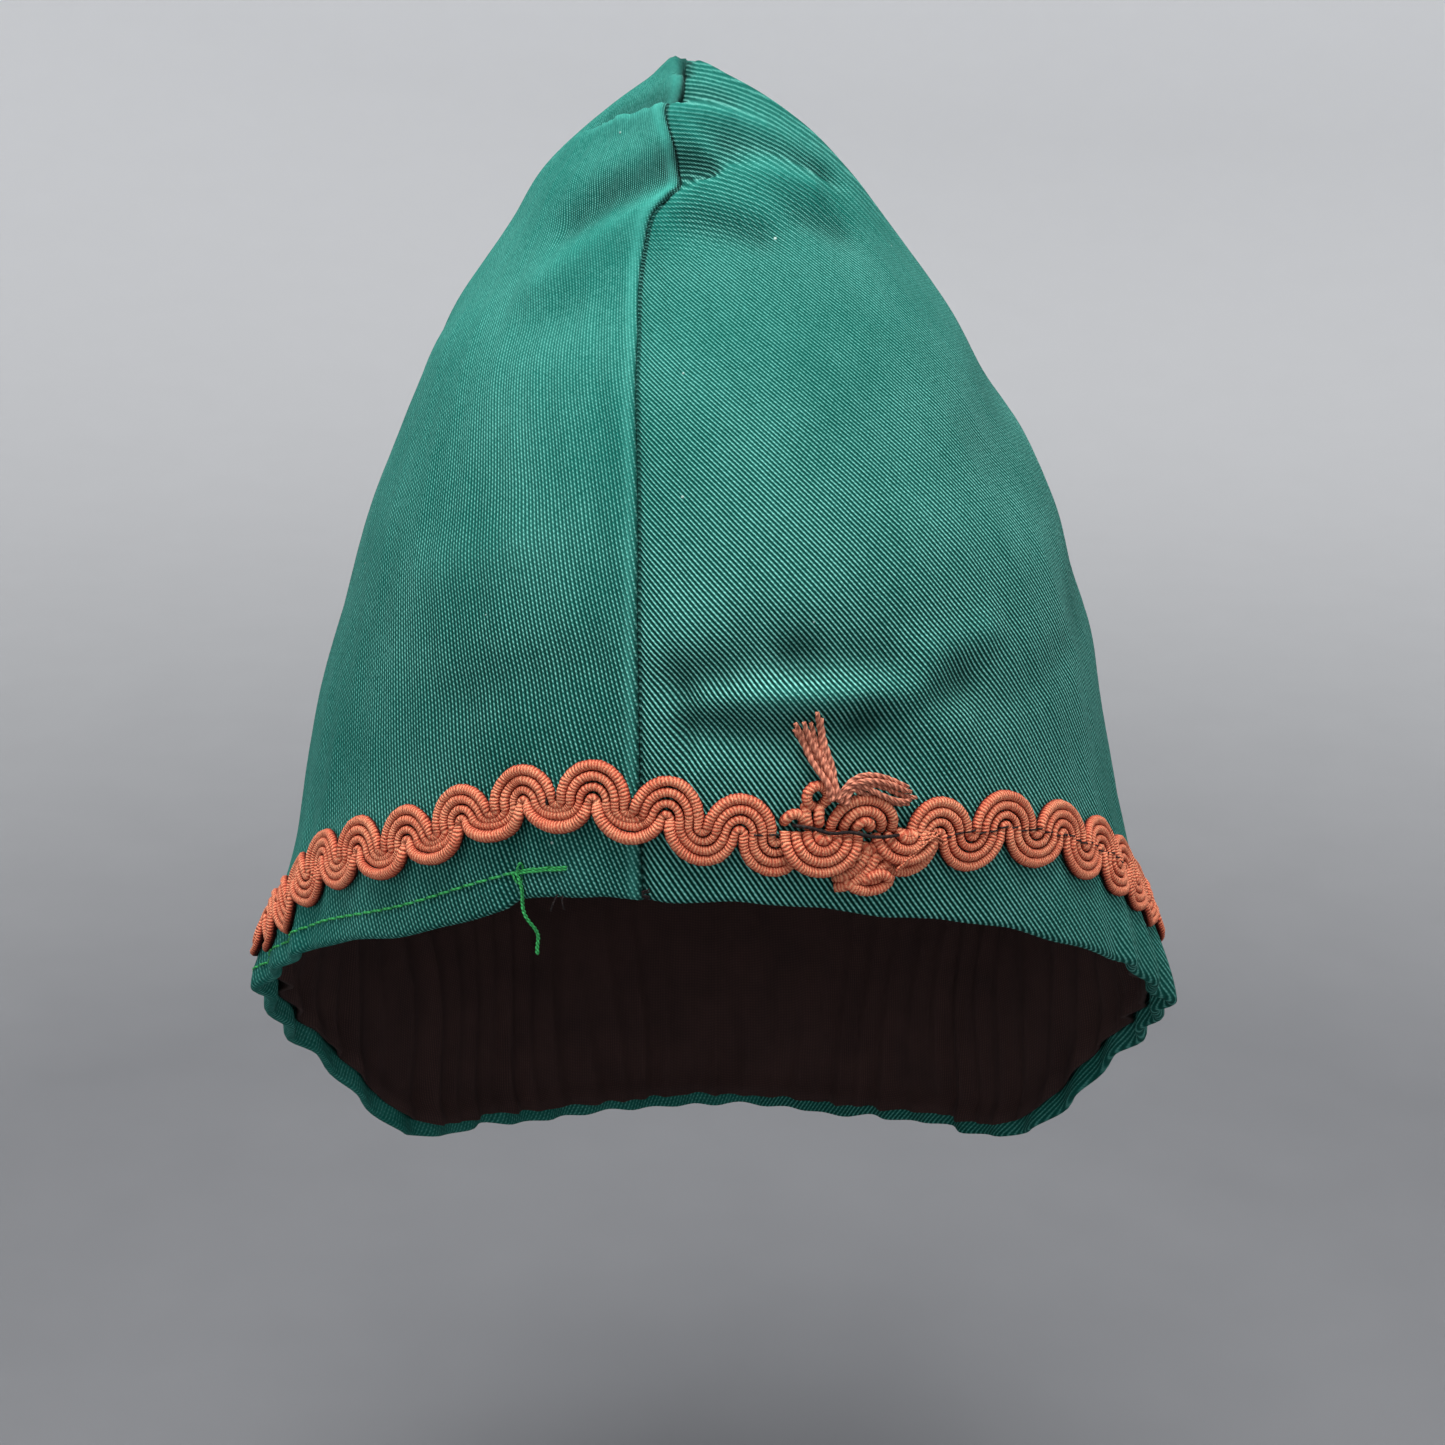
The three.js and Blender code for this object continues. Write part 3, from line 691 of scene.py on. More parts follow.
class Signal:
    """One output of a node, with the arithmetic that joins it to others."""

    def __init__(self, bench: Bench, socket: bpy.types.NodeSocket) -> None:
        """Keeps the bench that makes nodes, and the socket."""
        self.bench = bench
        self.socket = socket

    def _math(self, operation: str, *others: float | Signal, clamp: bool = False) -> Signal:
        """The result of a Math node on this signal and others.

        Args:
            operation: What the node does.
            others: Its other values or signals.
            clamp: Whether the result is kept from 0 to 1.

        Returns:
            The node's output.
        """
        settings = {"operation": operation, "use_clamp": clamp}
        node = self.bench.node("ShaderNodeMath", settings, dict(enumerate((self, *others))))
        return Signal(self.bench, node.outputs[0])

    def __add__(self, other: float | Signal) -> Signal:
        """The sum."""
        return self._math("ADD", other)

    def __mul__(self, other: float | Signal) -> Signal:
        """The product."""
        return self._math("MULTIPLY", other)

    def __sub__(self, other: float | Signal) -> Signal:
        """The difference."""
        return self._math("SUBTRACT", other)

    def __truediv__(self, other: float | Signal) -> Signal:
        """The quotient."""
        return self._math("DIVIDE", other)

    def __rsub__(self, other: float) -> Signal:
        """A number less this."""
        return (self * -1) + other

    __radd__ = __add__
    __rmul__ = __mul__

    def wave(self) -> Signal:
        """A wave from 0 to 1 and back over each unit, highest at whole numbers."""
        return (self * (2 * math.pi))._math("COSINE") * 0.5 + 0.5

    def floor(self) -> Signal:
        """The whole number below."""
        return self._math("FLOOR")

    def above(self, low: float, high: float) -> Signal:
        """Nothing below low, 1 above high, and even between."""
        return ((self - low) / (high - low))._math("ADD", 0.0, clamp=True)


class Bench:
    """A material's node tree, and the few ways in which its nodes are made."""

    def __init__(self, name: str) -> None:
        """Starts a material with an empty tree.

        Args:
            name: The material's name.
        """
        self.material = bpy.data.materials.new(name)
        self.material.use_nodes = True
        self.tree = self.material.node_tree
        self.tree.nodes.clear()

    def node(
        self, kind: str, settings: dict | None = None, inputs: dict | None = None
    ) -> bpy.types.Node:
        """Makes a node.

        Args:
            kind: The node's type.
            settings: Its properties, which are set first.
            inputs: Values or signals for its sockets, by name or number.

        Returns:
            The node.
        """
        made = self.tree.nodes.new(kind)
        for label, value in (settings or {}).items():
            setattr(made, label, value)
        for key, value in (inputs or {}).items():
            if isinstance(value, Signal):
                self.tree.links.new(value.socket, made.inputs[key])
            else:
                made.inputs[key].default_value = value
        return made

    def signal(
        self, kind: str, output: str | int, settings: dict | None = None, inputs: dict | None = None
    ) -> Signal:
        """One output of a new node."""
        return Signal(self, self.node(kind, settings, inputs).outputs[output])

    def place(self) -> Signal:
        """Object coordinates, in metres."""
        return self.signal("ShaderNodeTexCoord", "Object")

    def parts(self, place: Signal) -> list[Signal]:
        """The three parts of a place."""
        parts = self.node("ShaderNodeSeparateXYZ", None, {0: place})
        return [Signal(self, parts.outputs[axis]) for axis in range(3)]

    def flat(self) -> list[Signal]:
        """The two parts of the UV place."""
        return self.parts(self.signal("ShaderNodeTexCoord", "UV"))[:2]

    def attribute(self, name: str) -> Signal:
        """The number that the mesh's points carry under a name."""
        return self.signal("ShaderNodeAttribute", 2, {"attribute_name": name})

    def noise(self, place: Signal, size: float, detail: float = 2.0, rough: float = 0.5) -> Signal:
        """Soft noise from 0 to 1 whose spots are about a size across."""
        inputs = {"Vector": place, "Scale": 1 / size, "Detail": detail, "Roughness": rough}
        return self.signal("ShaderNodeTexNoise", 0, {"noise_dimensions": "3D"}, inputs)

    def mix(
        self, share: float | Signal, first: tuple | Signal, second: tuple | Signal, way: str = "MIX"
    ) -> Signal:
        """The first colour, with a share of the second blended in one of Mix's ways."""
        settings = {"data_type": "RGBA", "clamp_factor": True, "blend_type": way}
        return self.signal("ShaderNodeMix", 2, settings, {0: share, 6: first, 7: second})

    def bump(self, height: Signal, distance: float, strength: float = 1.0) -> Signal:
        """A normal that a height bends, where a height of 1 stands a distance proud."""
        inputs = {"Height": height, "Distance": distance, "Strength": strength}
        return self.signal("ShaderNodeBump", 0, None, inputs)

    def finish(
        self, colour: Signal, roughness: float | Signal, gloss: float, others: dict
    ) -> bpy.types.Material:
        """Ends the tree in a Principled shader.

        Args:
            colour: The base colour.
            roughness: The roughness.
            gloss: The specular level.
            others: Values or signals of other sockets, by name.

        Returns:
            The material.
        """
        inputs = {"Base Color": colour, "Roughness": roughness, "Specular IOR Level": gloss}
        shader = self.signal("ShaderNodeBsdfPrincipled", 0, None, {**inputs, **others})
        self.node("ShaderNodeOutputMaterial", None, {0: shader})
        return self.material


Colour = tuple[float, float, float]


def linear(red: float, green: float, blue: float) -> tuple[float, float, float, float]:
    """A colour of 0 to 255 in linear light.

    Args:
        red: Red, from 0 to 255.
        green: Green.
        blue: Blue.

    Returns:
        Red, green, blue and an alpha of 1.
    """
    shares = np.array([red, green, blue]) / 255
    low, high = shares / 12.92, ((shares + 0.055) / 1.055) ** 2.4
    return (*(float(v) for v in np.where(shares < 0.04045, low, high)), 1.0)


@dataclass(frozen=True)
class DrillFinish:
    """Green cotton drill: pale raised wales on dark gaps, each wale a row of small floats; the pale of the
    crests is partly painted highlight and the dark of the gaps partly painted shade.

    The wales stand out most low at the front, and fade into a soft fuzz higher up, a fade that
    is painted light from above, and at the sides. Beside the peak they show again in the hollows.
    """

    name: str
    body: Colour = (10, 96, 86)
    # pale is the colour of the wales' crests, partly painted highlight
    pale: Colour = (142, 222, 208)
    # The dark between the wales, and also the colour of the painted shade in hollows, along the seam and at
    # the rim
    gap_and_shade: Colour = (0, 34, 30)
    even: Colour = (8, 98, 86)
    # Rubbed cloth, and also the colour of the painted highlight on ridges
    worn_and_highlight: Colour = (54, 150, 138)
    lint: Colour = (190, 216, 208)
    wale_pitch: float = 0.00103
    float_pitch: float = 0.00115
    wale_turn: float = 118
    wale_depth: float = 0.0003
    lint_size: float = 0.0065
    plain: float = 0.0
    beading: float = 0.2
    crown: float = 0.7
    crown_pitch: float = 0.00084
    seam_aside: float = 0.01
    # Over what the wales fade: metres up, a fade that is painted light from above, square metres aside
    # and metres back. Then the metres up over which they revive in the hollows, and over which the peak's own
    # wales come in.
    fading: tuple[float, float] = (0.045, 0.105)
    fading_aside: tuple[float, float] = (0.0022, 0.0095)
    fading_back: tuple[float, float] = (-0.02, 0.06)
    reviving: tuple[float, float] = (0.105, 0.125)
    crowning: tuple[float, float] = (0.116, 0.13)
    # How far the colour darkens: in random patches, and as painted shade towards the bottom
    shade: tuple[float, float, float, float] = (0.7, 0.76, 0.76, 1.0)

    def contrast(self, where: list[Signal], painted_hollow_shade: Signal, ridge: Signal) -> Signal:
        """How clearly the wales show: less higher up, as painted light from above, and less to the sides and
        the back.

        At the peak they show in the hollows, and fade on the ridges under their painted highlight and
        rubbing.

        Args:
            where: The three parts of the place.
            painted_hollow_shade: How much painted shade the cloth takes in hollows, along the seam and at the
                rim.
            ridge: How much painted highlight and rubbing it takes on ridges and beside the seam.

        Returns:
            A share, which is none or less where the cloth looks even.
        """
        aside, back, height = where
        peak = height.above(*self.reviving) * (painted_hollow_shade * 1.1 - ridge * 1.4 + 0.02)
        # Painted light: the wales fade higher up, as under the light from above
        clear = 1 - height.above(*self.fading) * 0.58 + peak
        side = (aside * aside).above(*self.fading_aside)
        return clear * (1 - side * 0.5) * (1 - back.above(*self.fading_back) * 0.5) - self.plain

    def made(self) -> bpy.types.Material:
        """Makes the material.

        It reads the weave's UV for the wales, places for rubbing, painted low shade and lint, and the
        attributes that hold the painted shade in hollows, along the seam and at the rim, and the painted
        highlight and rubbing on ridges.

        Returns:
            The material.
        """
        bench = Bench(self.name)
        place = bench.place()
        where = bench.parts(place)
        painted_hollow_shade, ridge = bench.attribute("painted_hollow_shade"), bench.attribute("ridge")
        across, up = bench.flat()
        turn = math.radians(self.wale_turn)
        sway = (bench.noise(place, 0.012, 1.0) - 0.5) * 0.5
        wale = (across * math.sin(turn) - up * math.cos(turn)) / self.wale_pitch + sway
        along = (across * math.cos(turn) + up * math.sin(turn)) / self.float_pitch
        crest = self.crowned(where, bench.noise(place, 0.01, 1.0), wale.wave())
        bead = (along + (wale + 0.5).floor() * 0.37 + wale * 0.3).wave()
        patch = bench.noise(place, 0.028, 3.0)
        fuzz = bench.noise(place, 0.0009, 3.0, 0.6)
        thread = crest * (bead * self.beading + 1 - self.beading) * (fuzz * 0.6 + 0.7)
        # The wales' pale crests and dark gaps: the weave's own tone, partly painted highlight and painted
        # shade
        colour = bench.mix(thread.above(0.05, 0.62), linear(*self.gap_and_shade), linear(*self.body))
        colour = bench.mix((thread * (patch * 0.5 + 0.75)).above(0.52, 1.0), colour, linear(*self.pale))
        rubbed = fuzz * 0.8 + patch * 0.8 + crest * 0.2 - 0.7
        even = bench.mix(rubbed, linear(*self.even), linear(*self.worn_and_highlight))
        clear = self.contrast(where, painted_hollow_shade, ridge)
        colour = bench.mix(clear, even, colour)
        # Painted shade: darker towards the bottom, with random patches of tone
        low = 1 - where[2].above(0.015, 0.075)
        shade = bench.mix((patch - 0.3) * 0.7 + low * 0.42, (1.0, 1.0, 1.0, 1.0), self.shade)
        colour = bench.mix(1.0, colour, shade, "MULTIPLY")
        # Painted shade: darker towards the gaps' colour in hollows, along the seam and at the rim
        colour = bench.mix(painted_hollow_shade, colour, linear(*self.gap_and_shade))
        # Painted highlight with some rubbing: paler on ridges and on the left panel's edge beside the seam
        colour = bench.mix(ridge, colour, linear(*self.worn_and_highlight))
        lint = self.specks(bench, place)
        colour = bench.mix(lint * 0.8, colour, linear(*self.lint))
        height = thread * (clear * 0.7 + 0.3) + fuzz * 0.3 + lint * 0.6
        normal = bench.bump(height, self.wale_depth, 0.9)
        return bench.finish(colour, 0.88 + fuzz * 0.1, 0.12, {"Normal": normal})

    def crowned(self, where: list[Signal], sway: Signal, crest: Signal) -> Signal:
        """The wales with those at the peak, where the tip draws them level beside the seam.

        A wale lies where z + 12·(x - seam)^2 has one value, so it falls away from the seam.

        Args:
            where: The three parts of the place.
            sway: Noise that bends the wales.
            crest: The wales of the panel's own weave.

        Returns:
            The wales of both, from 0 to 1.
        """
        aside, _, height = where
        aside = aside + self.seam_aside
        level = ((height + aside * aside * 12) / self.crown_pitch + sway * 0.9).wave()
        share = height.above(*self.crowning) * self.crown
        return crest * (1 - share) + level * share

    def specks(self, bench: Bench, place: Signal) -> Signal:
        """Lint: a small bright speck in one cell of many.

        Args:
            bench: The material in the making.
            place: The place.

        Returns:
            How much lint lies at a point.
        """
        inputs = {"Vector": place, "Scale": 1 / self.lint_size, "Randomness": 1.0}
        spot = bench.node("ShaderNodeTexVoronoi", None, inputs)
        parts = bench.node("ShaderNodeSeparateColor", None, {0: Signal(bench, spot.outputs[1])})
        rare = Signal(bench, parts.outputs[0]).above(0.78, 0.82)
        size = Signal(bench, parts.outputs[1]) * 0.035 + 0.02
        near = 1 - (Signal(bench, spot.outputs[0]) / size).above(0.7, 1.3)
        return rare * near


@dataclass(frozen=True)
class LiningFinish:
    """Near-black brown lining, plain woven, dull."""

    name: str = "dark_lining"
    body: Colour = (30, 19, 19)
    pale: Colour = (84, 59, 54)
    thread: float = 0.0005

    def made(self) -> bpy.types.Material:
        """Makes the material, with its crossing threads on the UV.

        Returns:
            The material.
        """
        bench = Bench(self.name)
        place = bench.place()
        across, up = bench.flat()
        weave = (across / self.thread).wave() * (up / self.thread).wave()
        patch = bench.noise(place, 0.012, 3.0)
        colour = bench.mix(weave * 0.5 + patch * 0.4, linear(*self.body), linear(*self.pale))
        normal = bench.bump(weave + patch * 0.6, 0.00012, 0.8)
        return bench.finish(colour, 0.85 + patch * 0.1, 0.2, {"Normal": normal})


@dataclass(frozen=True)
class GimpFinish:
    """Rust gimp: a cord wrapped in slanting turns of yarn, with painted shade in the grooves and on its
    flanks, painted highlight on its top, and some fuzz.
    """

    name: str = "copper_gimp"
    body: Colour = (212, 97, 71)
    # pale is the painted highlight on the cords' tops, and deep the painted shade in the grooves and on their
    # flanks
    pale: Colour = (255, 192, 148)
    deep: Colour = (64, 12, 8)
    wrap_pitch: float = 0.00068
    slant: float = 0.8
    wrap_depth: float = 0.0003

    def made(self) -> bpy.types.Material:
        """Makes the material. The wraps follow the UV's length and its share round the cord.

        Returns:
            The material.
        """
        bench = Bench(self.name)
        place = bench.place()
        along, around = bench.flat()
        sway = (bench.noise(place, 0.0022, 2.0) - 0.5) * 1.6
        wrap = (along / self.wrap_pitch + around * self.slant + sway).wave()
        # Painted light: the cord's top, a quarter of the way round, is lit, and its flanks lie in painted
        # shade
        crown = (around - 0.25).wave()
        fuzz = bench.noise(place, 0.00045, 3.0, 0.7)
        patch = bench.noise(place, 0.0055, 2.0)
        lit = (wrap * 0.6 + 0.4) * crown.above(0.3, 0.95) * (fuzz * 1.9 + 0.05)
        # Painted shade towards the deep colour where the cord is unlit, and painted highlight towards the
        # pale where it is lit
        colour = bench.mix(lit.above(0.03, 0.5), linear(*self.deep), linear(*self.body))
        colour = bench.mix((lit + patch * 0.5 - 0.62) * 0.85, colour, linear(*self.pale))
        normal = bench.bump(wrap * 0.8 + fuzz * 1.2, self.wrap_depth, 1.0)
        return bench.finish(colour, 0.8 + fuzz * 0.15, 0.15, {"Normal": normal})


@dataclass(frozen=True)
class YarnFinish:
    """A twisted sewing thread or ply: strands wind round it, with painted shade in the grooves between them.
    """

    name: str
    body: Colour
    # deep is the painted shade in the grooves between the strands
    deep: Colour
    pitch: float = 0.0011
    depth: float = 0.00012
    plies: int = 2

    def made(self) -> bpy.types.Material:
        """Makes the material. The strands follow the UV's length and its share round the thread.

        Returns:
            The material.
        """
        bench = Bench(self.name)
        place = bench.place()
        along, around = bench.flat()
        strand = (along / self.pitch + around * self.plies).wave()
        fuzz = bench.noise(place, 0.0005, 2.0)
        # Painted shade: the deep colour in the grooves between the strands
        colour = bench.mix(strand * 0.7 + fuzz * 0.4, linear(*self.deep), linear(*self.body))
        normal = bench.bump(strand + fuzz * 0.5, self.depth, 0.8)
        return bench.finish(colour, 0.6 + fuzz * 0.2, 0.35, {"Normal": normal})


@dataclass(frozen=True)
class PaleFinish:
    """The studio's matt floor, with a faint grain, painted shade that darkens it near the middle, and a
    painted glow.
    """

    name: str = "studio_floor"
    # near is darkened as painted shade near the middle; far is the floor's own pale
    near: Colour = (104, 105, 108)
    far: Colour = (246, 247, 249)
    near_reach: float = 0.55
    far_reach: float = 3.0
    glow: float = 0.14

    def made(self) -> bpy.types.Material:
        """Makes the material, darker near the middle as painted shade and paler with the distance from it,
        with a painted glow.

        Returns:
            The material.
        """
        bench = Bench(self.name)
        place = bench.place()
        reach = bench.signal("ShaderNodeVectorMath", 1, {"operation": "LENGTH"}, {0: place})
        grain = bench.noise(place, 0.05, 2.0)
        share = reach.above(self.near_reach, self.far_reach) + grain * 0.02
        colour = bench.mix(share, linear(*self.near), linear(*self.far))
        # Painted glow: the floor shines with its own colour though it is no lamp
        glow = {"Emission Color": colour, "Emission Strength": self.glow}
        return bench.finish(colour, 0.9, 0.1, glow)


# Cloth


@dataclass
class Panel:
    """One half of the hood: a wall of drill, rolled at the hem and at the front seam."""

    form: HoodForm
    side: int
    wall: float = 0.0014
    hem_wall: float = 0.0028
    hem_turn_up: float = 0.0065
    roll: float = 0.00135
    seam_gap: float = 0.0001
    seam_edge: float = 0.0011
    seam_drop: float = 0.0010
    seam_dip: float = 0.0004
    seam_dip_reach: float = 0.0016
    edge_roll: float = 0.0008
    stitch_rise: float = 0.0062
    stitch_dip: float = 0.00025
    stitch_width: float = 0.0007
    swell_height: float = 0.00018
    # Share of painted shadow along the seam
    seam_shade: float = 0.75
    # Share of painted shade at the rim, low down towards the sides and the back
    rim_shade: float = 0.26
    low_top: float = 0.037
    near_turn: float = 4.4
    front_turn: float = 60
    flat: tuple[float, float] = (0.335, 0.335)
    flat_area: float = 0.072

    @property
    def node(self) -> str:
        """The solid that the panel stands for."""
        return "panel_right" if self.side > 0 else "panel_left"

    def aways(self) -> np.ndarray:
        """Degrees from the seam where the panel has its columns: close beside the seam.

        Returns:
            The degrees, from 0 to 180.
        """
        near = np.arange(0, self.near_turn, 0.22)
        front = np.arange(self.near_turn, self.front_turn, 0.78)
        back = np.linspace(self.front_turn, 180, 116)
        return np.concatenate([near, front, back])

    def places(self) -> tuple[np.ndarray, np.ndarray, np.ndarray]:
        """Turn, v and rise of each point of the grid: rows from the hem to the peak.

        Returns:
            The three, each with rows by columns.
        """
        aways = self.aways()[:: self.side]
        straight = self.form.seam_turn + self.side * aways
        edge = [0, 0.08, 0.22, 0.45, 0.7, 1.0, 1.35, 1.8, 2.5, 3.2, 4, 4.8, 5.6]
        low = np.concatenate([edge, np.arange(6.5, 37, 1.45)]) * MM
        body = np.linspace(0, 0.74, 62)[:-1]
        peak = 1 - (1 - np.linspace(0, 1, 44)) ** 1.15
        shares = np.concatenate([body, 0.74 + 0.26 * peak])
        bottom = self.form.v_at_rise(straight[None, :], low[:, None])
        top = self.form.v_at_rise(straight, np.full(straight.shape, self.low_top))
        upper = top[None, :] + (1 - top[None, :]) * shares[:, None]
        v = np.concatenate([bottom, upper])
        turns = np.broadcast_to(straight, v.shape)
        turn = turns + self.form.seam_wander(turns, v)
        rise = self.form.rise_at(turns, v)
        waver = self.hem_waver(turns) * np.exp(-((rise / 0.009) ** 2))
        return turn, v + waver / (self.form.peak_height - self.form.hem_height(turns)), rise

    def hem_waver(self, turn: np.ndarray) -> np.ndarray:
        """The hem's small ups and downs: a step down left of the tuck, and slow waves.

        Args:
            turn: Turns of points.

        Returns:
            How far up the hem has moved at each.
        """
        step = -0.0011 * (1 - smoothstep(turn, -25.5, -23.8)) * smoothstep(turn, -80, -45)
        slow = 0.00035 * np.sin(np.radians(turn * 13)) + 0.00025 * np.sin(np.radians(turn * 29 + 40))
        return step + slow

    def rounding(self, distance: np.ndarray, radius: float) -> np.ndarray:
        """How far a rolled edge has sunk at a distance from it: r - sqrt(r^2 - (r - d)^2)."""
        left = np.clip(radius - distance, 0, radius)
        return radius - np.sqrt(radius**2 - left**2)

    def painted_shade_and_wear(self, turn: np.ndarray, v: np.ndarray, rise: np.ndarray) -> dict[str, np.ndarray]:
        """How much painted shade each point takes in hollows, along the seam and at the rim, and how much
        painted highlight and rubbing on ridges.

        Args:
            turn: The turn of each point of the grid.
            v: Its v.
            rise: Its rise.

        Returns:
            Shares for the face's points and then the back's, by the attribute's name.
        """
        form = self.form.smooth(turn, v)
        relief = (0.6 * self.form.fold_relief(form) + self.form.fold_relief(form, FINE_FOLDS)) / MM
        away = self.form.seam_place(turn, v)[1]
        distance = self.form.seam_distance(turn, v)[1] / MM
        front = (away < self.front_turn) * (v < 0.99)
        higher = smoothstep(v, 0.5, 0.75)
        width = 0.55 - 0.15 * higher
        # Painted shadow along the seam, where the left panel's raised edge shades the right
        seam = (self.seam_shade - 0.15 * higher) * np.exp(-((distance / width) ** 2)) * front
        # Painted shade at the rim, low down towards the sides and the back
        rim = self.rim_shade * (1 - smoothstep(rise, 0.004, 0.018)) * smoothstep(away, 50, 85)
        # Painted shade in the folds' hollows, added to that of the seam and the rim
        painted_hollow_shade = np.clip(seam + rim + np.clip(-relief * 0.21, 0, 0.48), 0, 0.85)
        # Painted highlight, with some rubbing, on the folds' ridges
        ridge = np.clip(relief * 0.08, 0, 0.22)
        # Painted highlight along the left panel's raised edge beside the seam
        if self.side < 0:
            ridge = ridge + 0.2 * np.exp(-(((distance - 1.8) / 1.0) ** 2)) * front
        return {"painted_hollow_shade": np.tile(painted_hollow_shade.ravel(), 2), "ridge": np.tile(ridge.ravel(), 2)}

    def built(self) -> tuple[Patch, dict[str, np.ndarray]]:
        """The wall, with face, back and edges as one closed shell, and its painted shade and rubbing.

        The face lies below the form's by the hem's roll, the seam's sunk edge, the dip along the
        hem's stitches and a slow swell, and the back by the wall's thickness less the roll.

        Returns:
            The patch, and the values of its attributes by name.
        """
        turn, v, rise = self.places()
        turned_up = 1 - smoothstep(rise, self.hem_turn_up - 0.0015, self.hem_turn_up)
        thick = self.wall + (self.hem_wall - self.wall) * turned_up
        roll = self.rounding(rise, self.roll)
        distance = self.form.seam_distance(turn, v)[1]
        front = self.form.seam_place(turn, v)[1] < self.front_turn
        fade = smoothstep(1 - v, 0.0, 0.03)
        if self.side < 0:
            sink = self.seam_drop * self.rounding(distance, self.seam_edge) / self.seam_edge
        else:
            dip = self.seam_dip * np.exp(-((distance / self.seam_dip_reach) ** 2))
            sink = dip + 0.4 * self.rounding(distance, self.edge_roll)
        sink = np.where(front, sink, 0.5 * self.rounding(distance, self.edge_roll)) * fade
        stitch_line = self.stitch_dip * np.exp(-(((rise - self.stitch_rise) / self.stitch_width) ** 2))
        stitch_line = stitch_line * smoothstep(-turn, 20, 26) * (turn > -100)
        swell = self.swell_height * np.sin(turn * 0.9 + 31 * v) * np.sin(23 * v + turn * 0.31) * fade
        outer = self.form.cloth(turn, v, roll + sink + stitch_line + swell)
        inner = self.form.cloth(turn, v, np.maximum(thick - roll, roll + 0.0001) + swell + 0.4 * sink)
        seam = math.radians(self.form.seam_turn)
        aside = np.array([math.cos(seam), math.sin(seam), 0]) * self.side * self.seam_gap / 2
        outer, inner = outer + aside, inner + aside
        outer[-1], inner[-1] = outer[-1, :1], inner[-1, :1]
        cut = self.form.unrolled(outer, turn, self.side)
        return self.shell(outer, inner, cut), self.painted_shade_and_wear(turn, v, rise)

    def shell(self, outer: np.ndarray, inner: np.ndarray, cut: np.ndarray) -> Patch:
        """One closed shell round a wall: face, back, hem and both edges.

        Args:
            outer: Points of the face, rows by columns.
            inner: Points of the back.
            cut: The UV of both.

        Returns:
            The patch, in which each wall ends in a point of its own at the peak.
        """
        rows, columns = outer.shape[:2]
        index = np.arange(2 * rows * columns).reshape(2, rows, columns)
        index[:, -1, :] = index[:, -1, :1]
        quads, spots = [], []

        def add(first: np.ndarray, second: np.ndarray, place: np.ndarray, other: np.ndarray) -> None:
            """Faces between two lines of points, the second above the first."""
            quads.append(np.stack([first[:-1], first[1:], second[1:], second[:-1]], axis=-1))
            spots.append(np.stack([place[:-1], place[1:], other[1:], other[:-1]], axis=1))

        for row in range(rows - 1):
            add(index[0, row], index[0, row + 1], cut[row], cut[row + 1])
            add(index[1, row][::-1], index[1, row + 1][::-1], cut[row][::-1], cut[row + 1][::-1])
        add(index[0, 0][::-1], index[1, 0][::-1], cut[0][::-1], cut[0][::-1])
        add(index[0, :, -1][::-1], index[1, :, -1][::-1], cut[:, -1][::-1], cut[:, -1][::-1])
        add(index[0, :, 0], index[1, :, 0], cut[:, 0], cut[:, 0])
        points = np.concatenate([outer.reshape(-1, 3), inner.reshape(-1, 3)])
        return Patch.faces(points, np.concatenate(quads), np.concatenate(spots))

    def make(self, finish: bpy.types.Material) -> bpy.types.Object:
        """Builds the panel and hands it to the frame.

        Args:
            finish: The drill of its side.

        Returns:
            The piece.
        """
        patch, painted_shade_and_wear = self.built()
        piece = handed_over(patch.made("drill_" + self.node, finish, painted_shade_and_wear), self.node)
        return piece


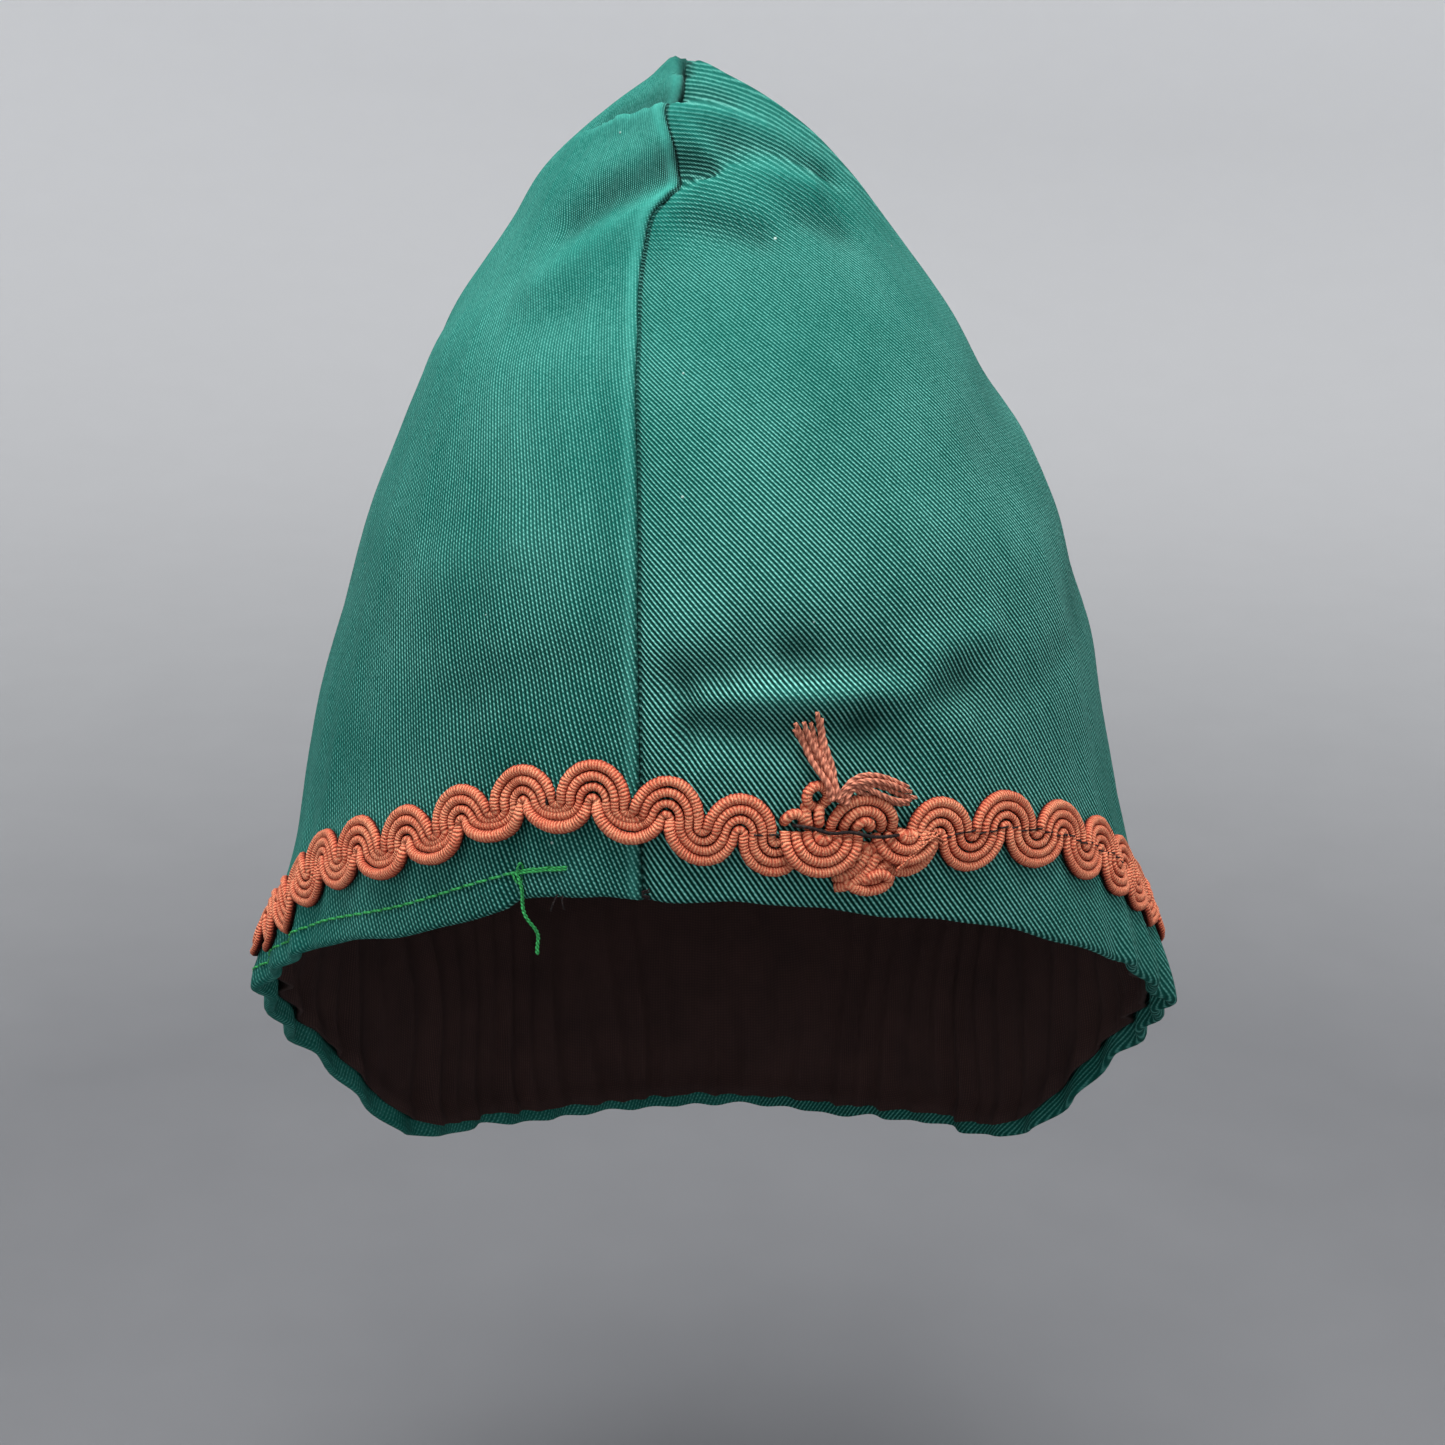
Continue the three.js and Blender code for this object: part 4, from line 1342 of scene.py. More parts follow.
@dataclass
class Lining:
    """The dark bag inside: it follows the dents, hangs free higher up, and is pleated at the hem."""

    form: HoodForm
    wall: float = 0.0010
    start_depth: float = 0.0018
    hem_depth: float = 0.0033
    slack: float = 0.0035
    free_rise: float = 0.048
    hem_start: float = 0.0042
    pleat_pitch: float = 0.0088
    pleat_height: float = 0.0026
    pleat_fade: float = 0.085
    clearance: float = 0.0002
    cut_reach: float = 0.1
    flat: tuple[float, float] = (0.66, 0.33)
    flat_area: float = 0.142

    def pleats(self, turn: np.ndarray, rise: np.ndarray) -> np.ndarray:
        """How far the pleats stand inwards: sharp ridges, |cos|^3.5, that fan and fade upwards.

        Args:
            turn: Turns of points.
            rise: Their rises.

        Returns:
            The heights of the pleats.
        """
        sway = 0.9 * np.sin(np.radians(turn * 5)) + 0.6 * np.sin(np.radians(turn * 11 + 50))
        phase = np.radians(turn) * self.cut_reach / self.pleat_pitch + 0.35 * sway
        phase = phase + 0.25 * np.sin(rise * 60 + turn * 0.11)
        ridge = np.abs(np.cos(np.pi * phase)) ** 3.5
        size = 0.75 + 0.25 * np.sin(np.radians(turn * 17))
        grown = smoothstep(np.abs(wrapped(turn)), 42, 62)
        return self.pleat_height * ridge * size * grown * np.exp(-((rise / self.pleat_fade) ** 2))

    def places(self) -> tuple[np.ndarray, np.ndarray, np.ndarray]:
        """Turn, v and rise of each point of the grid: rows from the hem to just below the peak.

        Returns:
            The three, each with rows by columns.
        """
        turns = np.arange(-180, 180, 0.9)
        steps = np.array([0, 0.5, 1.2, 2.2, 3.4, 5, 7, 9.5, 12.5, 16, 20, 24, 28.5, 33])
        bottom = self.form.v_at_rise(turns[None, :], (steps * MM + self.hem_start)[:, None])
        peak = 0.82 + 0.18 * np.linspace(0, 1, 14)[1:]
        shares = np.concatenate([np.linspace(0, 0.82, 62)[1:], peak])
        v = np.concatenate([bottom, bottom[-1] + (0.995 - bottom[-1]) * shares[:, None]])
        turns = np.broadcast_to(turns, v.shape)
        return turns + self.form.seam_wander(turns, v), v, self.form.rise_at(turns, v)

    def built(self) -> Patch:
        """The bag: its face lies below the form by its depth, its slack and its pleats.

        Returns:
            The patch.
        """
        turn, v, rise = self.places()
        form = self.form.smooth(turn, v)
        normal = self.form.directions(turn, v)[2]
        folds = self.form.fold_relief(form) + self.form.fold_relief(form, FINE_FOLDS)
        relief = np.minimum(0, folds) + self.form.gather_relief(turn, v)
        free = smoothstep(rise, 0, self.free_rise)
        at_hem = 1 - smoothstep(rise, 0.0065, 0.011)
        deep = self.start_depth + (self.hem_depth - self.start_depth) * at_hem
        face = deep + self.slack * free + self.clearance
        pleat = self.pleats(turn, rise)
        outer = form + (relief - face - 0.8 * pleat)[..., None] * normal
        inner = form + (relief - face - self.wall - pleat)[..., None] * normal
        outer[-1], inner[-1] = outer[-1].mean(axis=0), inner[-1].mean(axis=0)
        cut = np.stack([np.radians(turn) * self.cut_reach, form[..., 2]], axis=-1)
        return self.shell(outer, inner, cut)

    def shell(self, outer: np.ndarray, inner: np.ndarray, cut: np.ndarray) -> Patch:
        """A closed bag: the outer face upwards, the inner face downwards, and the hem between.

        Args:
            outer: Points of the outer face, rows by columns.
            inner: Points of the inner face.
            cut: The UV of both.

        Returns:
            The patch.
        """
        last = cut[:, :1] + np.array([2 * np.pi * self.cut_reach, 0])
        cut = np.concatenate([cut, last], axis=1)
        rows = np.concatenate([inner[::-1], outer])
        places = np.concatenate([cut[::-1], cut])
        return Patch.grid(rows, places, ring=True)

    def make(self, finish: bpy.types.Material) -> bpy.types.Object:
        """Builds the lining and hands it to the frame.

        Args:
            finish: The dark lining's material.

        Returns:
            The piece.
        """
        piece = handed_over(self.built().made("pleated_lining", finish), "lining")
        return piece


# Braid


@dataclass
class BraidLine:
    """The line that the braid follows on the cloth, by length from the join's right end."""

    form: HoodForm
    rise: float = 0.020
    join_start: float = 9.5
    join_end: float = 26.5
    rows: Rows = (
        (-180, 1.0),
        (-95, 0.95),
        (-68, 0.62),
        (-58, 0.85),
        (-36, 0.92),
        (-24, 1.0),
        (-15, 1.0),
        (-5, 0.85),
        (4, 0.75),
        (18, 0.77),
        (29, 0.9),
        (41, 1.08),
        (52, 1.12),
        (66, 1.08),
        (80, 1.0),
        (180, 1.0),
    )

    def rise_at(self, turn: np.ndarray) -> np.ndarray:
        """The line's rise at each turn."""
        return self.rise * SmoothLine(self.rows, 1, True)(wrapped(turn))

    def smooth_line(self, turn: np.ndarray) -> np.ndarray:
        """The line's points on the form without relief."""
        return self.form.smooth(turn, self.form.v_at_rise(turn, self.rise_at(turn)))

    @cached_property
    def _lengths(self) -> tuple[np.ndarray, np.ndarray]:
        """Turns from the join's start once round, and the length along the line at each."""
        turns = np.linspace(self.join_start - 30, self.join_start + 390, 1681)
        lengths = lengths_along(self.smooth_line(turns))
        return turns, lengths - np.interp(self.join_end, turns, lengths)

    def turn_at(self, length: np.ndarray) -> np.ndarray:
        """The turn at each length from the join's right end."""
        turns, lengths = self._lengths
        return np.interp(length, lengths, turns)

    def length_at(self, turn: float) -> float:
        """The length from the join's right end at a turn."""
        turns, lengths = self._lengths
        return float(np.interp(turn, turns, lengths))

    @property
    def join_length(self) -> float:
        """The length of the join along the line."""
        return self.length_at(self.join_end) - self.length_at(self.join_start)

    def on_cloth(
        self, length: np.ndarray, across: np.ndarray, height: np.ndarray
    ) -> tuple[np.ndarray, np.ndarray]:
        """Points on the cloth beside the line, and the normals there.

        The distance across is split between the form's two directions, whose shares solve
        the two equations of its dot products with them.

        Args:
            length: Lengths along the line.
            across: Distances up across it, along the cloth.
            height: Heights above the cloth's face.

        Returns:
            The points, and the normals.
        """
        given = (np.asarray(value, float) for value in (length, across, height))
        length, across, height = np.broadcast_arrays(*given)
        turn = self.turn_at(length)
        v = self.form.v_at_rise(turn, self.rise_at(turn))
        along, up, normal = self.form.directions(turn, v)
        forward = self.smooth_line(turn + 1) - self.smooth_line(turn - 1)
        square = unit(np.cross(normal, forward)) * across[..., None]
        a, b, c = (along * along).sum(-1), (along * up).sum(-1), (up * up).sum(-1)
        p, q = (square * along).sum(-1), (square * up).sum(-1)
        size = a * c - b * b
        turns, rises = (p * c - q * b) / size, (q * a - p * b) / size
        return self.form.cloth(turn + turns, v + rises, -height), normal


@dataclass
class GimpBraid:
    """Four wrapped cords side by side that wind up and down in round lobes."""

    line: BraidLine
    pitch: float = 0.0152
    cords: int = 4
    cord_pitch: float = 0.00192
    inner_radius: float = 0.00088
    outer_radius: float = 0.00112
    steps: int = 11
    sides: int = 8
    crown: float = 0.0005
    foot: float = 0.00095
    lobes: int = 92
    low_share: float = 0.76
    uneven: float = 0.035
    seed: int = 11
    # Metres along the braid, at the hood's left, where its lower lobes turn flatter and round again
    flattened: tuple[float, float, float, float] = (0.60, 0.63, 0.695, 0.712)
    # Millimetres of the braid as made, and where they lie from the join's right end. The ends
    # below 0 count from the join's left end.
    eased: Rows = (
        (-7.6, -8.4),
        (3.8, 3.0),
        (19.0, 21.0),
        (34.2, 42.0),
        (49.4, 62.0),
        (64.6, 80.0),
        (79.8, 96.0),
    )
    eased_end: Rows = ((-117.8, -122.0), (-102.6, -104.5), (-87.4, -87.0), (-11.4, -10.8), (0.0, 0.0))

    def winding(self, offset: float) -> tuple[np.ndarray, np.ndarray, np.ndarray]:
        """One cord's way in the flat: half circles over and under the line in turn.

        Over the line the cord's radius is the braid's plus its offset, and under it less, so
        that neighbouring half circles meet on the line. One lobe more lies under the join.

        Args:
            offset: The cord's distance from the middle of the braid.

        Returns:
            The place along the braid and across it at each step, and the bend's radius.
        """
        radius = self.pitch / 4
        index = np.repeat(np.arange(-1, self.lobes), self.steps)
        angle = np.tile(np.arange(self.steps) / self.steps * np.pi, self.lobes + 1)
        sign = np.where(index % 2 == 0, 1.0, -1.0)
        own = np.maximum(radius + sign * offset, 0.0006)
        along = (index + 0.5) * self.pitch / 2 - own * np.cos(angle)
        return along, sign * own * np.sin(angle), own

    def laid(self, along: np.ndarray) -> np.ndarray:
        """Where the braid's own length comes to lie: it was eased a little as it was sewn on.

        Args:
            along: Lengths of the braid as made.

        Returns:
            Lengths from the join's right end.
        """
        made = self.lobes * self.pitch / 2 / MM
        whole = self.line.length_at(self.line.join_start + 360) / MM
        rows = self.eased + tuple((made + own, whole + place) for own, place in self.eased_end)
        return SmoothLine(rows)(along / MM) * MM

    def built(self) -> Patch:
        """All the cords, from the join's right end once round to its left end.

        Returns:
            The patch.
        """
        chance = np.random.default_rng(self.seed)
        tubes = []
        for cord in range(self.cords):
            offset = (cord - (self.cords - 1) / 2) * self.cord_pitch
            along, across, bend = self.winding(offset)
            along = self.laid(along)
            across = across * (1 + 0.05 * np.sin(along * 37) + 0.04 * np.sin(along * 91 + 1))
            left = smoothstep(along, *self.flattened[:2]) * (1 - smoothstep(along, *self.flattened[2:]))
            low = smoothstep(-across, 0, 0.003) * left
            share = self.low_share if cord == 0 else 0.8 * self.low_share
            across = np.where(across < 0, across * (1 - (1 - share) * left), across * (1 + 0.08 * left))
            height = self.foot + self.crown * (1 - (across / (self.pitch / 2)) ** 2)
            height = height + low * np.where(cord == 0, 0.0008, -0.0003)
            height = height + 0.00008 * np.sin(along * 700 + cord)
            points, normals = self.line.on_cloth(along, across, height)
            wide = smoothstep(bend, 0.003, 0.006)
            radius = self.inner_radius + (self.outer_radius - self.inner_radius) * wide
            radius = radius * (1 + self.uneven * chance.normal(size=len(radius)))
            radius = radius * (1 + (0.16 * low if cord == 0 else 0))
            tubes.append(tube(points, normals, radius, self.sides))
        return Patch.joined(tubes)

    def make(self, finish: bpy.types.Material) -> bpy.types.Object:
        """Builds the braid and hands it to the frame."""
        return handed_over(self.built().made("gimp_braid", finish), "braid")


@dataclass(frozen=True)
class Curl:
    """Cords bent side by side round a centre, in millimetres along, across and above the cloth."""

    centre: tuple[float, float]
    inner: float
    cords: int
    start: float
    sweep: float
    lift: float
    stretch: float = 1.0


@dataclass
class BraidJoin:
    """Where the braid's ends meet: the last lobes doubled over one another in several curls."""

    line: BraidLine
    cord_pitch: float = 0.00215
    cord_radius: float = 0.00112
    least_height: float = 0.0006
    sides: int = 10
    ply_radius: float = 0.00026
    loose_plies: int = 4
    loose_lift: float = 3.2
    curls: tuple[Curl, ...] = (
        # The small ring at the top left, the bump beside it, and the cords that run down from it
        Curl((3.5, 8.9), 2.2, 1, -50, 310, 2.2),
        Curl((-0.4, 3.4), 1.9, 1, -5, 185, 1.7),
        Curl((8.0, 6.2), 6.4, 1, 176, 36, 1.6),
        Curl((9.8, 5.5), 5.6, 1, 168, 34, 1.9),
        # The big lobe on top
        Curl((13.5, 3.0), 1.25, 3, -10, 200, 2.3, 1.18),
        # The lobe under it on the left, with a second layer below
        Curl((5.3, 1.4), 0.9, 4, 178, 186, 2.5),
        Curl((6.8, 0.8), 8.6, 2, 284, 62, 1.3),
        # The folded bulge: a short cord on top, the long one under it, and what lies between
        Curl((17.2, -8.6), 2.2, 1, 8, 164, 2.1, 1.2),
        Curl((15.6, -5.0), 5.0, 1, 212, 118, 1.6, 1.15),
        Curl((15.8, -5.0), 2.9, 1, 195, 150, 1.1, 1.3),
        Curl((15.5, -1.0), 0.9, 3, 180, 180, 0.9),
        # The lobe on the right
        Curl((23.3, 1.6), 1.4, 3, 182, 176, 1.9, 1.15),
        Curl((23.3, 1.2), 0.1, 1, 182, 176, 1.8, 8.0),
    )
    # Along and across in millimetres: the loose strand over the lobe on the right
    loose: Rows = (
        (0, 20.8, -5.8),
        (0.35, 24.0, -3.0),
        (0.65, 26.6, -0.3),
        (0.85, 29.2, 0.9),
        (1, 31.2, -0.8),
    )

    def built(self) -> Patch:
        """Every cord of every curl: an arc about the centre, stretched along the line.

        Returns:
            The patch.
        """
        length = self.line.join_length
        tubes = []
        for curl in self.curls:
            for cord in range(curl.cords):
                radius = (curl.inner + cord * self.cord_pitch / MM) * MM
                steps = max(8, int(abs(math.radians(curl.sweep)) * radius / 0.0012))
                angle = np.radians(np.linspace(curl.start, curl.start + curl.sweep, steps + 1))
                along = curl.centre[0] * MM - length + curl.stretch * radius * np.cos(angle)
                across = curl.centre[1] * MM + radius * np.sin(angle)
                ends = np.minimum(np.linspace(0, 1, steps + 1), np.linspace(1, 0, steps + 1))
                dip = 1.3 * (1 - smoothstep(ends, 0, 0.18))
                height = (curl.lift - dip) * MM + 0.0006 * smoothstep(-across, -0.009, 0.004)
                height = np.maximum(height, self.least_height)
                points, normals = self.line.on_cloth(along, across, height)
                tubes.append(tube(points, normals, self.cord_radius, self.sides))
        return Patch.joined(tubes + self.loose_strand(length))

    def loose_strand(self, length: float) -> list[Patch]:
        """The plies of the loose strand, which wind about its line and lie on the cords.

        Args:
            length: The join's length.

        Returns:
            A tube for each ply.
        """
        t = np.linspace(0, 1, 40)
        made = []
        for ply in range(self.loose_plies):
            angle = t * 11 + 2 * np.pi * ply / self.loose_plies
            off = 0.34 * (1 + 0.8 * t)
            along = SmoothLine(self.loose, 1)(t) + off * np.cos(angle)
            across = SmoothLine(self.loose, 2)(t) + off * np.sin(angle)
            height = self.loose_lift + 0.25 * np.sin(angle * 0.7) - 1.0 * smoothstep(t, 0.8, 1.0)
            points, normals = self.line.on_cloth(along * MM - length, across * MM, height * MM)
            made.append(tube(points, normals, self.ply_radius, 6))
        return made

    def make(self, finish: bpy.types.Material) -> bpy.types.Object:
        """Builds the join and hands it to the frame."""
        return handed_over(self.built().made("gimp_join", finish), "braid_join")


@dataclass
class FrayedTail:
    """A frayed end of the braid: twisted plies that lie side by side and spread."""

    form: HoodForm
    name: str
    node: str
    rows: Rows
    plies: int
    ply_radius: float
    seed: int = 3
    spread: float = 0.0055
    twist: float = 0.0062
    rise: float = 0.020
    foot: float = 0.00045
    lift: float = 0.0024

    def built(self) -> Patch:
        """The plies: each winds a little about its own line, which is off the middle by its share.

        Returns:
            The patch.
        """
        t = np.linspace(0, 1, 40)
        at = np.linspace(0, 1, len(self.rows))
        rows = tuple((place, *row) for place, row in zip(at, self.rows))
        turn, rise, width, lift = (SmoothLine(rows, column)(t) for column in range(1, 5))
        v = self.form.v_at_rise(turn, rise * self.rise)
        height = self.foot + (0.5 + lift) * self.lift
        centre = self.form.cloth(turn, v, -height)
        normal = self.form.directions(turn, v)[2]
        square = unit(np.cross(normal, np.gradient(centre, axis=0)))
        chance = np.random.default_rng(self.seed)
        tubes = []
        for ply in range(self.plies):
            share = (ply - (self.plies - 1) / 2) / max(self.plies - 1, 1)
            end = 0.86 + 0.14 * chance.random()
            use = t <= end
            phase = chance.random() * 2 * np.pi
            off = share * width * self.spread * (0.75 + 0.5 * t**2) + 0.00035 * np.sin(t * 9 + phase)
            out = 0.0005 * np.sin(t * 7 + phase * 2) + 0.0006 * (ply % 2)
            path = centre + off[:, None] * square + out[:, None] * normal
            thin = self.ply_radius * (1 - 0.35 * smoothstep(t / end, 0.85, 1.0))
            tubes.extend(self.strands(path[use], normal[use], thin[use], phase))
        return Patch.joined(tubes)

    def strands(self, path: np.ndarray, normal: np.ndarray, radius: np.ndarray, phase: float) -> list[Patch]:
        """Three strands that wind round one ply's path.

        Args:
            path: The points of the ply.
            normal: Directions away from the cloth.
            radius: The ply's radius.
            phase: The angle at which the first strand starts.

        Returns:
            A tube for each strand.
        """
        forward = unit(np.gradient(path, axis=0))
        across = unit(np.cross(normal, forward))
        square = np.cross(forward, across)
        made = []
        for strand in range(3):
            angle = phase + 2 * np.pi * (strand / 3 + lengths_along(path) / self.twist)
            off = 0.55 * radius[:, None] * (np.cos(angle)[:, None] * across + np.sin(angle)[:, None] * square)
            made.append(tube(path + off, normal, 0.58 * radius, 6))
        return made

    def make(self, finish: bpy.types.Material) -> bpy.types.Object:
        """Builds the tail and hands it to the frame."""
        return handed_over(self.built().made(self.name, finish), self.node)


# Stitches and stray threads


@dataclass
class Stitches:
    """Threads that show on the hood, each on its line."""

    form: HoodForm
    line: BraidLine
    thread: float = 0.00024
    bar_rise: float = 0.0066
    braid_thread: float = 0.0002
    # Turn and rise of the running stitch along the hem
    running_rows: Rows = ((-88, 0.004), (-65, 0.0042), (-50, 0.0052), (-40, 0.0058), (-24.6, 0.0066))

    def at_hem(
        self, turn: np.ndarray, rise: np.ndarray, height: np.ndarray
    ) -> tuple[np.ndarray, np.ndarray]:
        """Points at turns, rises and heights above the cloth, and the normal at the first.

        Args:
            turn: Turns of points near the hem.
            rise: Their rises.
            height: Their heights above the cloth.

        Returns:
            The points, and one normal.
        """
        v = self.form.v_at_rise(turn, rise)
        return self.form.cloth(turn, v, -height), self.form.directions(turn, v)[2][0]

    def stitch(self, ends: np.ndarray, normal: np.ndarray, radius: float, sink: float) -> Patch:
        """One stitch: it comes up out of the cloth, lies along it and goes down again.

        Args:
            ends: Where it begins and ends on the cloth.
            normal: The direction away from the cloth.
            radius: The thread's radius.
            sink: How deep both ends go in.

        Returns:
            The tube.
        """
        t = np.linspace(0, 1, 8)
        path = ends[0] + t[:, None] * (ends[1] - ends[0])
        lie = np.minimum(1, 4 * np.minimum(t, 1 - t))
        path = path + (radius * 0.7 - sink * (1 - lie) ** 2)[:, None] * normal
        return tube(path, np.broadcast_to(normal, path.shape), radius, 6)

    def hem(self) -> Patch:
        """The green running stitch along the left hem, and the bar of stitches at its end.

        Returns:
            The patch.
        """
        turns = np.arange(-24.6, -88, -1.75)
        rises = np.interp(turns, *zip(*self.running_rows))
        stitches = []
        for turn, rise in zip(turns, rises):
            both = np.array([turn, turn - 1.5])
            ends, normal = self.at_hem(both, np.array([rise, rise + 0.0001]), np.full(2, 0.0001))
            stitches.append(self.stitch(ends, normal, 1.2 * self.thread, 0.0005))
        for shift in (-0.3, 0.0, 0.3):
            for start in (-24.6, -22.6, -20.2):
                both = np.array([start + shift, start + 2.6])
                bar = np.array([self.bar_rise, self.bar_rise + 0.0001]) + shift * 0.0009
                ends, normal = self.at_hem(both, bar, np.full(2, 0.0002 + 0.0002 * abs(shift)))
                stitches.append(self.stitch(ends, normal, self.thread, 0.0007))
        return Patch.joined(stitches)

    def hanging(self) -> Patch:
        """The loose end that hangs from the stitches over the hem, with a small kink and curl.

        Returns:
            The patch.
        """
        start, normal = self.at_hem(np.array([-24.2]), np.array([self.bar_rise]), np.array([0.0003]))
        t = np.linspace(0, 1, 160)
        side = np.array([0.0052 * t + 0.0005 * np.sin(t * 11), 0 * t, -0.0175 * t]).T
        out = 0.0006 + 0.0014 * smoothstep(t, 0, 0.35) + 0.0004 * np.sin(t * 14)
        path = start + side + out[:, None] * normal
        loop = np.array([0.0016 * np.sin(t * np.pi) - 0.0008 * t, 0 * t, 0.0022 * np.sin(t * 2 * np.pi)]).T
        knot = start + 0.0006 * normal + loop + (0.0004 * np.sin(t * 9))[:, None] * normal
        upright = np.broadcast_to(normal, path.shape)
        level = unit(np.cross(normal, [0.0, 0.0, 1.0]))
        wind = 0.0002 * (np.cos(t * 62)[:, None] * level + np.sin(t * 62)[:, None] * normal)
        lines = (path + wind, path - wind, knot)
        return Patch.joined([tube(line, upright, self.thread, 6) for line in lines])

    def braid_stitches(self) -> Patch:
        """Dark stitches that hold the braid: short bars across its cords along the middle.

        Returns:
            The patch.
        """
        length = self.line.join_length
        t = np.linspace(0, 1, 60)
        across = (3.1 - 2.2 * t + 0.25 * np.sin(t * 15)) * MM
        height = (3.5 + 0.2 * np.sin(t * 23) - 1.6 * np.abs(2 * t - 1) ** 8) * MM
        points, normals = self.line.on_cloth((-0.8 + 22.6 * t) * MM - length, across, height)
        stitches = [tube(points, normals, 0.00036, 6)]
        spans = ((-6.0, 74.0, 0.0), (-36.5, -28.0, 0.0004), (-98.0, -84.0, 0.0))
        for first, last, drift in spans:
            starts = np.arange(first, last, 3.1) * MM
            for i, start in enumerate(starts):
                across = drift + 0.0004 * math.sin(i * 1.7)
                along = np.array([start, start + 0.0028])
                beside = np.array([across, across + 0.0003])
                points, normals = self.line.on_cloth(along, beside, np.full(2, 0.0022))
                stitches.append(self.stitch(points, normals[0], self.braid_thread, 0.0011))
        return Patch.joined(stitches)

    def ends(self) -> Patch:
        """Short dark thread ends under the hem at the front, and the knot at the seam's foot.

        Returns:
            The patch.
        """
        made = []
        for turn, rise, reach, aside in ((-18.8, 0.0012, 0.0034, -0.0012), (-18.2, 0.0009, 0.0028, 0.0006)):
            start, normal = self.at_hem(np.array([turn]), np.array([rise]), np.array([0.0001]))
            t = np.linspace(0, 1, 12)
            out = (0.0009 * np.sin(t * 2.4))[:, None] * normal
            path = start + np.array([aside * t, 0 * t, -reach * t]).T + out
            made.append(tube(path, np.broadcast_to(normal, path.shape), 0.00018, 6))
        start = self.at_hem(np.array([-8.2]), np.array([0.0016]), np.array([0.0002]))[0]
        t = np.linspace(0, 1, 30)
        wind = np.array([0.0007 * np.cos(t * 19), -0.0005 + 0.0004 * np.sin(t * 13), 0.0022 * (t - 0.5)]).T
        made.append(tube(start + wind, np.broadcast_to([0.0, -1.0, 0.0], wind.shape), 0.0002, 6))
        return Patch.joined(made)

    def make(self, green: bpy.types.Material, dark: bpy.types.Material) -> list[bpy.types.Object]:
        """Builds the threads and hands them to the frame.

        Args:
            green: The hem thread's finish.
            dark: The finish of the braid stitches and loose ends.

        Returns:
            The pieces.
        """
        made = [
            self.hem().made("hem_stitches", green),
            self.hanging().made("hem_thread_end", green),
            self.braid_stitches().made("braid_stitches", dark),
            self.ends().made("dark_thread_ends", dark),
        ]
        for piece in made:
            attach(piece, "root")
        return made


# Studio


